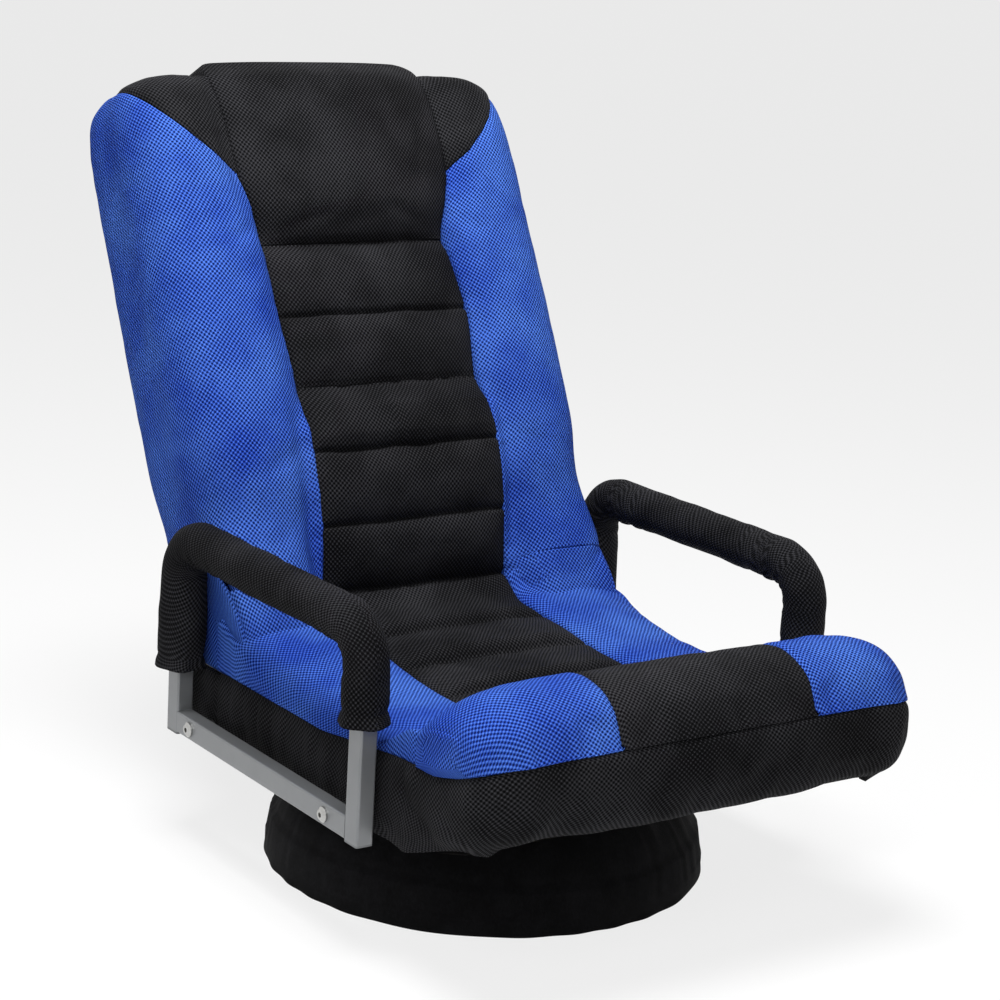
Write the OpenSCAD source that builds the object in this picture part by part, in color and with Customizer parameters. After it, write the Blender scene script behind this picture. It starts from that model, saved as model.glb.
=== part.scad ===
// Swivel floor chair: a fabric-covered ring base, a ball-race swivel, a channelled seat
// with tube arms, and a padded back on two ratchet hinges.
// The front is -Y, up is +Z, and the origin is on the floor under the swivel axis.

/* [Base] */
// Outside diameter of the floor ring
base_d = 496; // [480:2:530]
// Diameter of the floor ring's tube
ring_tube_d = 22; // [19:0.5:26]
// Wall of the round tubes
round_wall = 1.5; // [1.2:0.1:2]
// Diameter of the four leg tubes
leg_tube_d = 19; // [16:0.5:21]
// How far the legs stand inside the ring's centre line
leg_inset = 5; // [2:0.5:8]
// Centre-line radius of the leg bends
leg_bend_r = 60; // [50:1:66]
// Height of the leg tops above the floor
base_h = 111.5; // [105:0.5:125]
// Diameter of a floor pad
pad_d = 20; // [16:0.5:22]
// Thickness of a floor pad
pad_t = 4; // [3:0.5:6]
// Number of floor pads
pad_n = 8; // [4:1:12]
// Diameter of the hub plate on the legs
hub_d = 200; // [194:1:212]
// Thickness of the hub plate
hub_t = 3; // [2.5:0.5:5]
// Thickness of the base cover's cloth
cover_t = 1.5; // [1:0.1:2]
// Ease of the cover over the ring and legs
cover_ease = 0.8; // [0.5:0.1:2]
// How far the cover hangs in between two legs
cover_sag = 11; // [4:0.5:14]
// Depth of the small folds in the cover
cover_fold = 2; // [0.5:0.1:3]

/* [Swivel] */
// Side length of the two swivel plates
plate_w = 150; // [142:1:160]
// Corner radius of the swivel plates
plate_corner_r = 12; // [8:0.5:16]
// Thickness of the swivel plates
plate_t = 3; // [2.5:0.1:4]
// Diameter of the bearing balls
ball_d = 10; // [9:0.5:12]
// Number of bearing balls
ball_n = 20; // [12:1:24]
// Diameter of the ball race
race_d = 104; // [98:1:108]
// Thickness of the ball cage
cage_t = 2; // [1.5:0.1:3]
// Width of the ball cage ring
cage_w = 18; // [15:0.5:20]
// Diameter of the swivel pin
swivel_pin_d = 16; // [12:0.5:20]
// Diameter of the swivel pin's head
swivel_head_d = 28; // [24:0.5:32]
// Thickness of the swivel pin's head
swivel_head_t = 4; // [3:0.5:6]
// Diameter of the swivel bolts
swivel_bolt_d = 6; // [5:0.5:8]
// Distance of the swivel bolts from the plates' edges
swivel_bolt_inset = 12; // [10:0.5:14]

/* [Seat frame] */
// Side of the square frame tube
frame_tube = 25; // [22:0.5:28]
// Wall of the square tubes
square_wall = 1.5; // [1.2:0.1:2]
// Front end of the side rails, ahead of the swivel axis
rail_front = 232; // [225:1:245]
// Rear end of the side rails, behind the swivel axis
rail_rear = 236; // [228:1:246]
// Rear face of the rear cross tube, behind the swivel axis
rear_tube_y = 138; // [128:1:144]
// Diameter of the front bow's tube
bow_tube_d = 20; // [18:0.5:22]
// Straight length of each bow leg
bow_leg = 62; // [50:1:66]
// Centre-line radius of the bow's bends
bow_bend_r = 55; // [45:1:60]
// Rise of the front bow
bow_rise_deg = 25; // [20:1:28]
// Width of a webbing strap
strap_w = 44; // [38:1:48]
// Thickness of the webbing
strap_t = 2; // [1.5:0.1:2.5]
// Number of seat straps
seat_strap_n = 5; // [4:1:6]

/* [Arms] */
// Width over the outer faces of the two arm frames
chair_w = 600; // [590:2:630]
// Width of the arm tube across the chair
arm_tube_x = 20; // [18:0.5:22]
// Depth of the arm tube along the chair
arm_tube_y = 25; // [22:0.5:28]
// Corner radius of the square tubes
tube_corner_r = 2.5; // [1:0.25:3]
// Length of an arm frame from its front face to its rear face
arm_len = 415; // [400:1:430]
// Front face of the arm frames, ahead of the swivel axis
arm_front = 202; // [192:1:212]
// Height of the arm tube's centre line above that of the arm rail
arm_h = 213; // [200:1:230]
// Centre-line radius of the arm corners
arm_bend_r = 45; // [40:1:54]
// Outside diameter of the foam sleeve
sleeve_d = 50; // [46:0.5:52]
// Drop of the sleeve at the front leg, below the arm tube's centre line
sleeve_front_drop = 99; // [85:1:115]
// Drop of the sleeve at the rear leg, below the arm tube's centre line
sleeve_rear_drop = 150; // [130:1:160]
// Flare of the sleeve ends
sleeve_flare = 2; // [0.5:0.25:3]
// Height of the flared sleeve ends
sleeve_flare_h = 16; // [10:1:22]
// Length of the spacers between the seat frame and the arms
spacer_len = 20; // [18:0.5:26]
// Diameter of the spacers
spacer_d = 18; // [15:0.5:21]
// Thickness of the arm end caps
cap_t = 2.2; // [1.5:0.1:3]
// Depth of the end caps' plugs
plug_h = 12; // [8:0.5:16]
// Diameter of the arm bolts
arm_bolt_d = 8; // [6:0.5:9]
// Diameter of an arm bolt's head
arm_bolt_head_d = 17; // [14:0.5:19]
// Height of an arm bolt's head
arm_bolt_head_h = 4.6; // [4:0.1:6]
// Hexagon socket of an arm bolt, across its corners
arm_bolt_socket = 6; // [5:0.5:7]
// Distance of the front arm bolt behind the arm's front face
bolt_inset_front = 66; // [55:1:80]
// Distance of the rear arm bolt ahead of the arm's rear face
bolt_inset_rear = 54; // [45:1:62]

/* [Seat cushion] */
// Thickness of the side padding outside the seat frame
side_pad = 10; // [7:0.5:12]
// Height of the seat foam on the straps
seat_foam_h = 49; // [44:0.5:56]
// Height of the channelled pad above the seat foam, where it is lowest
seat_pad_h = 26; // [22:0.5:32]
// Crown of a seat channel
seat_crown = 8; // [4:0.5:11]
// Height of the seat bolsters above the pad beside them
bolster_rise = 9; // [5:0.5:13]
// Front edge of the front roll, ahead of the swivel axis
seat_front = 410; // [400:1:420]
// Radius of the front roll
roll_r = 75; // [70:0.5:80]
// Height of the front roll's axis above the seat foam
roll_axis_h = 47; // [42:0.5:52]
// How much wider the front roll is than the seat at each side
roll_side = 9; // [4:0.5:12]
// Swell of the band beyond its seam
band_swell = 4; // [2:0.5:6]
// Number of seat channels
seat_channel_n = 5; // [4:1:6]
// Height of the side seam above the foam
side_seam_rise = 3; // [1:0.5:6]
// Corner radius of the seat's front, seen from above
corner_r = 52; // [46:1:58]
// How far the front of the band curls in under the seat
front_curl = 60; // [48:1:64]
// Thickness of the underside cloth
under_t = 1; // [0.6:0.1:1.4]

/* [Back] */
// Lean of the back from upright in the pose of rest
back_lean = 26; // [24:1:28]
// Height of the back from its hinge pins to the top of the headrest
back_h = 690; // [670:2:710]
// Distance from the back frame's middle plane to the front of the lumbar pad
lumbar_t = 109; // [104:0.5:116]
// Distance from the back frame's middle plane to the rear cover's outer face
rear_t = 56; // [52:0.5:60]
// Thickness of the rear cover
rear_cover_t = 9; // [6:0.5:11]
// Crown of a back channel
back_crown = 9; // [5:0.5:12]
// How far the headrest stands proud of the cover beside it
headrest_proud = 17; // [10:0.5:22]
// Diameter of the back frame's tube
back_tube_d = 22; // [19:0.5:24]
// Centre-line radius of the back frame's corners
back_bend_r = 70; // [60:1:80]
// Diameter of the back frame's cross bars
cross_bar_d = 16; // [12:0.5:18]
// Thickness of the front foam layer
front_foam_t = 17; // [14:0.5:20]
// Number of back straps
back_strap_n = 7; // [5:1:8]

/* [Hinges] */
// Hinge pins, behind the swivel axis
hinge_y = 209.5; // [205:0.5:215]
// Height of the hinge pins above the side rails
hinge_h = 62.5; // [61:0.5:68]
// Thickness of the hinge plates
hinge_plate_t = 4; // [3:0.5:5]
// Diameter of a hinge pin
hinge_pin_d = 10; // [8:0.5:12]
// Diameter of a hinge pin's heads
hinge_head_d = 20; // [17:0.5:22]
// Radius over the ratchet teeth
ratchet_r = 30; // [28:0.5:32]
// Depth of the ratchet teeth
tooth_h = 4; // [3:0.25:4.5]
// Angle from one ratchet tooth to the next
tooth_pitch = 16; // [16:1:16]
// Number of positions that the ratchet holds
position_n = 6; // [6:1:6]
// Width of the plates that run up the back tubes
hinge_arm_w = 36; // [30:1:40]
// Thickness of the cloth panels inside the hinges
panel_t = 2; // [1:0.25:2.5]
// Radius of the soft knuckle round the hinge pins
knuckle_r = 104; // [100:0.5:107]
// Radius of the rounded lower end of the lumbar pad
lumbar_end_r = 74; // [70:0.5:80]

/* [Hidden] */

// Fits and cuts
overrun = 5;
run_fit = 0.05;
bolt_fit = 0.3;
soft_gap = 0.3;
sleeve_room = 3;
side_room = 2;
sleeve_fit = 0.2;
plug_fit = 0.2;
$fn = 48;
ball_fn = 32;

// Colours
steel_grey = [0.56, 0.57, 0.58];
bare_steel = [0.42, 0.43, 0.45];
nickel = [0.75, 0.75, 0.73];
black_mesh = [0.09, 0.09, 0.1];
black_cloth = [0.13, 0.13, 0.14];
blue_mesh = [0.16, 0.3, 0.82];
foam_cream = [0.86, 0.8, 0.6];
web_black = [0.2, 0.2, 0.2];
nylon = [0.85, 0.85, 0.8];

// Base
ring_r = base_d / 2 - ring_tube_d / 2;
ring_z = pad_t + ring_tube_d / 2;
leg_r = ring_r - leg_inset;
leg_z = base_h - leg_tube_d / 2;
leg_end_r = hub_d / 2 - leg_tube_d;
leg_bend_z = leg_z - leg_bend_r;

// Swivel stack, from the hub plate up to the seat frame
race_gap_share = 0.8;
race_gap = ball_d * race_gap_share;
lower_plate_z = base_h + hub_t;
upper_plate_z = lower_plate_z + plate_t + race_gap;
ball_z = lower_plate_z + plate_t + race_gap / 2;
frame_z = upper_plate_z + plate_t;
swivel_bolt_y = plate_w / 2 - swivel_bolt_inset;

// Seat frame
frame_mid_z = frame_z + frame_tube / 2;
frame_top_z = frame_z + frame_tube;
arm_x = chair_w / 2 - arm_tube_x / 2;
arm_inner_x = chair_w / 2 - arm_tube_x;
frame_x = arm_inner_x - spacer_len;
rail_mid_x = frame_x - frame_tube / 2;
rail_inner_x = frame_x - frame_tube;
cross_y = swivel_bolt_y;
seat_foam_z = frame_top_z + strap_t;

// Arms
arm_rear = arm_len - arm_front;
arm_top_z = frame_mid_z + arm_h;
upright_mid_front = -arm_front + arm_tube_y / 2;
upright_mid_rear = arm_rear - arm_tube_y / 2;
bolt_ys = [-arm_front + bolt_inset_front, arm_rear - bolt_inset_rear];
nut_d = 2 * arm_bolt_d;
nut_t = arm_bolt_d * 0.8;
bolt_end_x = rail_inner_x - nut_t - run_fit;

// Seat cushion
seat_x = frame_x + side_pad;
band_t = side_pad - 2 * soft_gap;
foam_x = frame_x;
foam_top_z = seat_foam_z + seat_foam_h;
strip_share = 0.465;
strip_x = seat_x * strip_share;
roll_x = seat_x + roll_side;
roll_y = -seat_front + roll_r;
roll_z = foam_top_z + roll_axis_h;
roll_rear_share = 0.95;
roll_rear_y = roll_y + roll_r * roll_rear_share;
cheek_x = arm_x - sleeve_d / 2 - sleeve_room;

// Hinge
hinge_z = frame_top_z + hinge_h;
seat_plate_x = rail_mid_x - hinge_plate_t / 2;
plate_gap = 0.5;
back_plate_x = seat_plate_x - plate_gap - hinge_plate_t;
head_t = hinge_plate_t * 0.75;
narrow_x = back_plate_x - head_t - side_room - panel_t;
pawl_dy = -ratchet_r * 1.27;
pawl_dz = -ratchet_r * 0.73;
tip_angle = -100;
stud_d = hinge_pin_d * 0.6;

// Back
back_x = cheek_x - side_room;
tube_x = back_plate_x - back_tube_d / 2;
core_x = narrow_x - 3 * soft_gap;
core_top = back_h * 0.925;
core_bottom = -lumbar_end_r * 0.61;
pad_plane = back_tube_d / 2 + strap_t + front_foam_t;
rear_plane = rear_t - rear_cover_t;
wall_x = back_plate_x + hinge_plate_t + soft_gap;
rear_wrap_x = tube_x - back_tube_d / 2;

// Small helpers
module on_side(side) { if (side < 0) mirror([1, 0, 0]) children(); else children(); }
module both_sides() { for (side = [-1, 1]) on_side(side) children(); }
module along_x() { rotate([0, 90, 0]) children(); }
module at_hinge() { translate([0, hinge_y, hinge_z]) children(); }
module on_back() { at_hinge() rotate([-back_lean, 0, 0]) children(); }

module round_rect(x, y, r) {
  square([x - 2 * r, y], center = true);
  square([x, y - 2 * r], center = true);
  for (i = [-1, 1], j = [-1, 1])
    translate([i * (x / 2 - r), j * (y / 2 - r)]) circle(r);
}

// A closed skin over rings of equal length, with flat ends or joined end to end
function skin_faces(rings, n, looped) = concat(
  [for (i = [0 : rings - (looped ? 1 : 2)]) for (j = [0 : n - 1])
    let (k = (j + 1) % n, up = (i + 1) % rings)
    each [[i * n + j, i * n + k, up * n + j], [i * n + k, up * n + k, up * n + j]]],
  looped ? [] : [[for (j = [n - 1 : -1 : 0]) j], [for (j = [0 : n - 1]) (rings - 1) * n + j]]);
module skin(rings, looped = false) {
  n = len(rings[0]);
  polyhedron([for (ring = rings) each ring], skin_faces(len(rings), n, looped), convexity = 6);
}
function mix(a, b, f) = a + (b - a) * f;
function swell(f, power = 2) = 1 - pow(abs(2 * f - 1), power);

// Base
module floor_pads() color(web_black)
  for (i = [0 : pad_n - 1]) rotate(360 * (i + 0.5) / pad_n) translate([ring_r, 0, 0])
    cylinder(d = pad_d, h = pad_t);

module base_ring() color(bare_steel)
  translate([0, 0, ring_z]) difference() {
    rotate_extrude($fn = 96) translate([ring_r, 0]) circle(d = ring_tube_d);
    rotate_extrude($fn = 96) translate([ring_r, 0]) circle(d = ring_tube_d - 2 * round_wall);
  }

module leg_sweep(d, spare = 0) {
  translate([leg_r, 0, ring_z - spare]) cylinder(d = d, h = leg_bend_z - ring_z + spare);
  translate([leg_r - leg_bend_r, 0, leg_bend_z]) rotate([90, 0, 0])
    rotate_extrude(angle = 90) translate([leg_bend_r, 0]) circle(d = d);
  translate([leg_end_r - spare, 0, leg_z]) along_x()
    cylinder(d = d, h = leg_r - leg_bend_r - leg_end_r + spare);
}
module base_legs() color(bare_steel)
  for (a = [0 : 90 : 270]) rotate(a) difference() {
    leg_sweep(leg_tube_d);
    leg_sweep(leg_tube_d - 2 * round_wall, overrun);
    translate([0, 0, ring_z]) rotate_extrude($fn = 96) translate([ring_r, 0])
      circle(d = ring_tube_d + 2 * run_fit);
  }

module hub_plate() color(bare_steel)
  translate([0, 0, base_h]) difference() {
    cylinder(d = hub_d, h = hub_t);
    translate([0, 0, -overrun]) cylinder(d = swivel_head_d + 2 * bolt_fit, h = hub_t + 2 * overrun);
    swivel_bolt_holes(hub_t);
  }

module swivel_bolt_places() {
  for (i = [-1, 1], j = [-1, 1]) translate([i * swivel_bolt_y, j * swivel_bolt_y, 0]) children();
}
module swivel_bolt_holes(t) {
  swivel_bolt_places() translate([0, 0, -overrun])
    cylinder(d = swivel_bolt_d + 2 * bolt_fit, h = t + 2 * overrun);
}

// The cover's outline: straight up the ring, over the leg bends and in to the hub plate.
// lift runs from 0 at the hem to 1 at the hub.
cover_r = base_d / 2 + cover_ease + cover_t;
cover_over_r = leg_bend_r + leg_tube_d / 2 + cover_ease + cover_t;
cover_hem = 1.5;
cover_top_z = base_h + cover_ease + cover_t;
cover_lift_shares = [0, 0.17, 0.2, 0.32, 0.44, 0.56, 0.68, 0.8, 0.9, 1];
cover_round_n = 48;
function cover_bend(f) = [leg_r - leg_bend_r + cover_over_r * cos(f), leg_bend_z + cover_over_r * sin(f)];
function cover_line(u) =
  u < 0.2 ? [cover_r, mix(cover_hem, ring_z + ring_tube_d / 2, u / 0.2)] :
  u < 0.9 ? cover_bend(mix(4, 90, (u - 0.2) / 0.7)) :
  [mix(leg_r - leg_bend_r, hub_d / 2 + cover_t + cover_ease, (u - 0.9) / 0.1), cover_top_z];
function cover_sag_at(u, a) = (1 - pow(abs(cos(2 * a)), 1.5)) * swell(clamp((u - 0.22) / 0.72))
  * (cover_sag + cover_fold * (1 + sin(7 * a) * cos(3 * a + 40)));
function cover_point(u, a, inset) =
  let (p = cover_line(u), sag = cover_sag_at(u, a) * 0.7 + inset,
    flat = max(0, min(1, (u - 0.45) / 0.4)))
  [(p[0] - sag * (1 - flat)) * cos(a), (p[0] - sag * (1 - flat)) * sin(a), p[1] - sag * flat];
module base_cover() color(black_cloth)
  skin([for (k = [0 : cover_round_n - 1]) let (a = 360 * k / cover_round_n)
    concat([for (u = cover_lift_shares) cover_point(u, a, 0)],
      [for (i = [len(cover_lift_shares) - 1 : -1 : 0]) cover_point(cover_lift_shares[i], a, cover_t)])],
    looped = true);

// Swivel
module swivel_plate() {
  difference() {
    linear_extrude(plate_t) round_rect(plate_w, plate_w, plate_corner_r);
    swivel_bolt_holes(plate_t);
  }
}
module race_groove() {
  translate([0, 0, ball_z]) rotate_extrude($fn = 96) translate([race_d / 2, 0])
    circle(d = ball_d + 2 * run_fit, $fn = ball_fn);
}
module swivel_lower_plate() color(bare_steel)
  difference() {
    translate([0, 0, lower_plate_z]) swivel_plate();
    race_groove();
    translate([0, 0, lower_plate_z - overrun])
      cylinder(d = swivel_pin_d + 2 * run_fit, h = plate_t + 2 * overrun);
  }
module swivel_upper_plate() color(bare_steel)
  difference() {
    translate([0, 0, upper_plate_z]) swivel_plate();
    race_groove();
    translate([0, 0, upper_plate_z - overrun])
      cylinder(d = swivel_pin_d + 2 * run_fit, h = plate_t + 2 * overrun);
  }
module ball_places() {
  for (i = [0 : ball_n - 1]) rotate(360 * i / ball_n) translate([race_d / 2, 0, ball_z]) children();
}
module swivel_balls() color(nickel) ball_places() sphere(d = ball_d, $fn = ball_fn);
module ball_cage() color(nylon)
  difference() {
    translate([0, 0, ball_z - cage_t / 2]) difference() {
      cylinder(d = race_d + cage_w, h = cage_t);
      translate([0, 0, -overrun]) cylinder(d = race_d - cage_w, h = cage_t + 2 * overrun);
    }
    ball_places() translate([0, 0, -cage_t]) cylinder(d = ball_d + 2 * run_fit, h = 2 * cage_t);
  }
module swivel_pin() color(nickel) {
  translate([0, 0, lower_plate_z - swivel_head_t]) {
    cylinder(d = swivel_head_d, h = swivel_head_t - run_fit);
    cylinder(d = swivel_pin_d, h = swivel_head_t + frame_z - lower_plate_z + run_fit);
  }
  translate([0, 0, frame_z + run_fit]) cylinder(d = swivel_head_d, h = swivel_head_t);
}
module swivel_bolt(z, length) {
  translate([0, 0, z]) {
    cylinder(d = swivel_bolt_d, h = length);
    translate([0, 0, -swivel_bolt_d * 0.6])
      cylinder(d = swivel_bolt_d * 2, h = swivel_bolt_d * 0.6, $fn = 6);
  }
}
module swivel_lower_bolts() color(nickel)
  swivel_bolt_places() swivel_bolt(base_h, hub_t + plate_t + race_gap / 4);
module swivel_upper_bolts() color(nickel)
  swivel_bolt_places() mirror([0, 0, 1]) translate([0, 0, -frame_z - square_wall])
    swivel_bolt(0, plate_t + square_wall + race_gap / 4);

// Seat frame
module square_tube(length) {
  difference() {
    linear_extrude(length) round_rect(frame_tube, frame_tube, tube_corner_r);
    translate([0, 0, -overrun]) linear_extrude(length + 2 * overrun)
      square(frame_tube - 2 * square_wall, center = true);
  }
}
module bow_sweep(d, spare = 0) {
  both_sides() {
    translate([rail_mid_x, spare, 0]) rotate([90, 0, 0]) cylinder(d = d, h = bow_leg + spare);
    translate([rail_mid_x - bow_bend_r, -bow_leg, 0]) rotate([0, 0, -90])
      rotate_extrude(angle = 90) translate([bow_bend_r, 0]) circle(d = d);
  }
  translate([-rail_mid_x + bow_bend_r, -bow_leg - bow_bend_r, 0]) along_x()
    cylinder(d = d, h = 2 * (rail_mid_x - bow_bend_r));
}
module on_bow() { translate([0, -rail_front, frame_mid_z]) rotate([-bow_rise_deg, 0, 0]) children(); }
module arm_bolt_places() {
  for (y = bolt_ys) translate([0, y, frame_mid_z]) along_x() children();
}
module seat_frame() color(bare_steel)
  difference() {
    union() {
      both_sides() translate([rail_mid_x, rail_rear, frame_mid_z]) rotate([90, 0, 0])
        square_tube(rail_front + rail_rear);
      for (y = [-cross_y, cross_y, rear_tube_y - frame_tube / 2])
        translate([-rail_inner_x, y, frame_mid_z]) along_x() square_tube(2 * rail_inner_x);
      intersection() {
        on_bow() difference() {
          bow_sweep(bow_tube_d, bow_tube_d / 2);
          bow_sweep(bow_tube_d - 2 * round_wall, bow_tube_d / 2);
        }
        translate([-frame_x, -2 * rail_front, frame_z]) cube([2 * frame_x, 2 * rail_front, rail_front]);
      }
    }
    both_sides() arm_bolt_places() translate([0, 0, rail_inner_x - overrun])
      cylinder(d = arm_bolt_d + 2 * bolt_fit, h = frame_tube + 2 * overrun);
    translate([0, 0, frame_z]) swivel_bolt_holes(square_wall);
  }
strap_span = rail_front - bow_tube_d + rear_tube_y - frame_tube;
module seat_straps() color(web_black)
  for (i = [0 : seat_strap_n - 1])
    translate([-frame_x + tube_corner_r,
      -rail_front + bow_tube_d + strap_span * (i + 0.5) / seat_strap_n - strap_w / 2, frame_top_z])
      cube([2 * (frame_x - tube_corner_r), strap_w, strap_t]);
module arm_spacers() color(bare_steel)
  both_sides() arm_bolt_places() translate([0, 0, frame_x]) difference() {
    cylinder(d = spacer_d, h = spacer_len);
    translate([0, 0, -overrun]) cylinder(d = arm_bolt_d + 2 * bolt_fit, h = spacer_len + 2 * overrun);
  }
module arm_nuts() color(nickel)
  both_sides() arm_bolt_places() translate([0, 0, rail_inner_x - nut_t]) difference() {
    cylinder(d = nut_d, h = nut_t, $fn = 6);
    translate([0, 0, -overrun]) cylinder(d = arm_bolt_d + 2 * run_fit, h = nut_t + 2 * overrun);
  }

// Arms: a bent square tube with a rail welded between its legs
module arm_u(x, y, r, down_front, down_rear) {
  top_len = upright_mid_rear - upright_mid_front - 2 * arm_bend_r;
  translate([arm_x, upright_mid_front, 0]) {
    translate([0, 0, arm_top_z - down_front]) linear_extrude(down_front - arm_bend_r) round_rect(x, y, r);
    translate([0, arm_bend_r, arm_top_z - arm_bend_r]) mirror([0, 1, 0]) arm_quarter(x, y, r);
    translate([0, arm_bend_r, arm_top_z]) rotate([-90, 0, 0]) linear_extrude(top_len) round_rect(x, y, r);
    translate([0, arm_bend_r + top_len, arm_top_z - arm_bend_r]) arm_quarter(x, y, r);
  }
  translate([arm_x, upright_mid_rear, arm_top_z - down_rear])
    linear_extrude(down_rear - arm_bend_r) round_rect(x, y, r);
}
// A quarter bend about the X axis, from straight along +Y to straight down
module arm_quarter(x, y, r) {
  rotate([90, 0, 90]) rotate_extrude(angle = 90) translate([arm_bend_r, 0]) round_rect(y, x, r);
}
leg_drop = arm_h + arm_tube_y / 2;
module arm_frame(side) color(steel_grey) on_side(side) difference() {
  union() {
    difference() {
      arm_u(arm_tube_x, arm_tube_y, tube_corner_r, leg_drop, leg_drop);
      arm_u(arm_tube_x - 2 * square_wall, arm_tube_y - 2 * square_wall, tube_corner_r / 2,
        leg_drop + overrun, leg_drop + overrun);
    }
    translate([arm_x, -arm_front + arm_tube_y - square_wall / 2, frame_mid_z]) rotate([-90, 0, 0])
      difference() {
        linear_extrude(arm_len - 2 * arm_tube_y + square_wall)
          round_rect(arm_tube_x, arm_tube_y, tube_corner_r);
        translate([0, 0, square_wall]) linear_extrude(arm_len - 2 * arm_tube_y - square_wall)
          square([arm_tube_x - 2 * square_wall, arm_tube_y - 2 * square_wall], center = true);
      }
  }
  arm_bolt_places() translate([0, 0, arm_inner_x - overrun])
    cylinder(d = arm_bolt_d + 2 * bolt_fit, h = arm_tube_x + 2 * overrun);
}
module arm_frame_left() arm_frame(-1);
module arm_frame_right() arm_frame(1);

module sleeve_quarter() {
  rotate([90, 0, 90]) rotate_extrude(angle = 90) translate([arm_bend_r, 0]) circle(d = sleeve_d);
}
module sleeve_end(drop) {
  translate([0, 0, -drop]) {
    cylinder(d1 = sleeve_d + 2 * sleeve_flare, d2 = sleeve_d, h = sleeve_flare_h);
    translate([0, 0, sleeve_flare_h]) cylinder(d = sleeve_d, h = drop - arm_bend_r - sleeve_flare_h);
  }
}
module arm_sleeve(side) color(black_mesh) on_side(side) difference() {
  translate([arm_x, 0, arm_top_z]) {
    top_len = upright_mid_rear - upright_mid_front - 2 * arm_bend_r;
    translate([0, upright_mid_front, 0]) {
      sleeve_end(sleeve_front_drop);
      translate([0, arm_bend_r, -arm_bend_r]) mirror([0, 1, 0]) sleeve_quarter();
      translate([0, arm_bend_r, 0]) rotate([-90, 0, 0]) cylinder(d = sleeve_d, h = top_len);
      translate([0, arm_bend_r + top_len, -arm_bend_r]) sleeve_quarter();
    }
    translate([0, upright_mid_rear, 0]) sleeve_end(sleeve_rear_drop);
  }
  arm_u(arm_tube_x + 2 * sleeve_fit, arm_tube_y + 2 * sleeve_fit, tube_corner_r,
    leg_drop, leg_drop);
}
module arm_sleeve_left() arm_sleeve(-1);
module arm_sleeve_right() arm_sleeve(1);

module arm_end_caps() color(black_mesh)
  both_sides() for (y = [upright_mid_front, upright_mid_rear]) translate([arm_x, y, frame_z]) {
    translate([0, 0, -cap_t]) linear_extrude(cap_t) round_rect(arm_tube_x, arm_tube_y, tube_corner_r);
    linear_extrude(plug_h) round_rect(arm_tube_x - 2 * square_wall - 2 * plug_fit,
      arm_tube_y - 2 * square_wall - 2 * plug_fit, tube_corner_r / 2);
  }
module arm_bolt() {
  flat_share = 0.45;
  difference() {
    union() {
      translate([0, 0, bolt_end_x]) cylinder(d = arm_bolt_d, h = chair_w / 2 - bolt_end_x);
      translate([0, 0, chair_w / 2]) cylinder(d = arm_bolt_head_d, h = arm_bolt_head_h * flat_share);
      translate([0, 0, chair_w / 2 + arm_bolt_head_h * flat_share])
        cylinder(d1 = arm_bolt_head_d, d2 = arm_bolt_head_d * flat_share * 1.5,
          h = arm_bolt_head_h * (1 - flat_share));
    }
    translate([0, 0, chair_w / 2 + arm_bolt_head_h * (1 - flat_share) / 2])
      cylinder(d = arm_bolt_socket, h = arm_bolt_head_h, $fn = 6);
  }
}
module arm_bolts_left() color(nickel) on_side(-1) arm_bolt_places() arm_bolt();
module arm_bolts_right() color(nickel) on_side(1) arm_bolt_places() arm_bolt();

// Seat cushion. The front roll is the fullest form, and its seam with the band runs
// round the front at the roll's widest line.
seam_angle = 14;
roll_seam_y = roll_y - roll_r * cos(seam_angle);
roll_seam_z = roll_z + roll_r * sin(seam_angle);
seam_low_z = foam_top_z + side_seam_rise;
seam_room = 7 * soft_gap;
foam_front_y = roll_seam_y + 2.6 * band_t;
band_front_z = frame_top_z - band_t / 3;
under_front_y = roll_seam_y + front_curl + band_t;
function clamp(f) = max(0, min(1, f));
// Height of the cloth's upper face under the seat
function under_z(y) = mix(frame_z, band_front_z, clamp((-rail_front - y) / (-rail_front - under_front_y)));
foam_slope = 0.55;
module pin_cut(r, x0, x1) {
  translate([x0, hinge_y, hinge_z]) along_x() cylinder(r = r, h = x1 - x0, $fn = 96);
}
foam_corner_r = corner_r - 2.2 * band_t;
module seat_foam() color(foam_cream)
  difference() {
    intersection() {
      rotate([90, 0, 90]) translate([0, 0, -foam_x]) linear_extrude(2 * foam_x) polygon([
        [foam_front_y, foam_top_z], [roll_seam_y + band_t + 0.45 * front_curl, mix(roll_seam_z,
          band_front_z, 0.72)],
        [under_front_y + soft_gap, mix(roll_seam_z, band_front_z, 0.95)],
        [under_front_y + front_curl, seat_foam_z], [hinge_y, seat_foam_z], [hinge_y, foam_top_z]]);
      translate([0, 0, frame_z]) linear_extrude(foam_top_z - frame_z) union() {
        translate([-foam_x, foam_front_y + foam_corner_r]) square([2 * foam_x, hinge_y - foam_front_y]);
        translate([-foam_x + foam_corner_r, foam_front_y]) square([2 * (foam_x - foam_corner_r), hinge_y]);
        for (i = [-1, 1]) translate([i * (foam_x - foam_corner_r), foam_front_y + foam_corner_r])
          circle(foam_corner_r);
      }
      rotate([90, 0, 0]) translate([0, 0, -hinge_y]) linear_extrude(2 * seat_front) polygon([
        [-foam_x, foam_top_z], [-foam_x, foam_top_z - band_t],
        [-foam_x + foam_slope * seat_foam_h, seat_foam_z], [foam_x - foam_slope * seat_foam_h, seat_foam_z],
        [foam_x, foam_top_z - band_t], [foam_x, foam_top_z]]);
    }
    pin_cut(knuckle_r + soft_gap, -seat_x, seat_x);
    on_bow() bow_sweep(bow_tube_d + 2 * soft_gap, overrun);
  }

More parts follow.
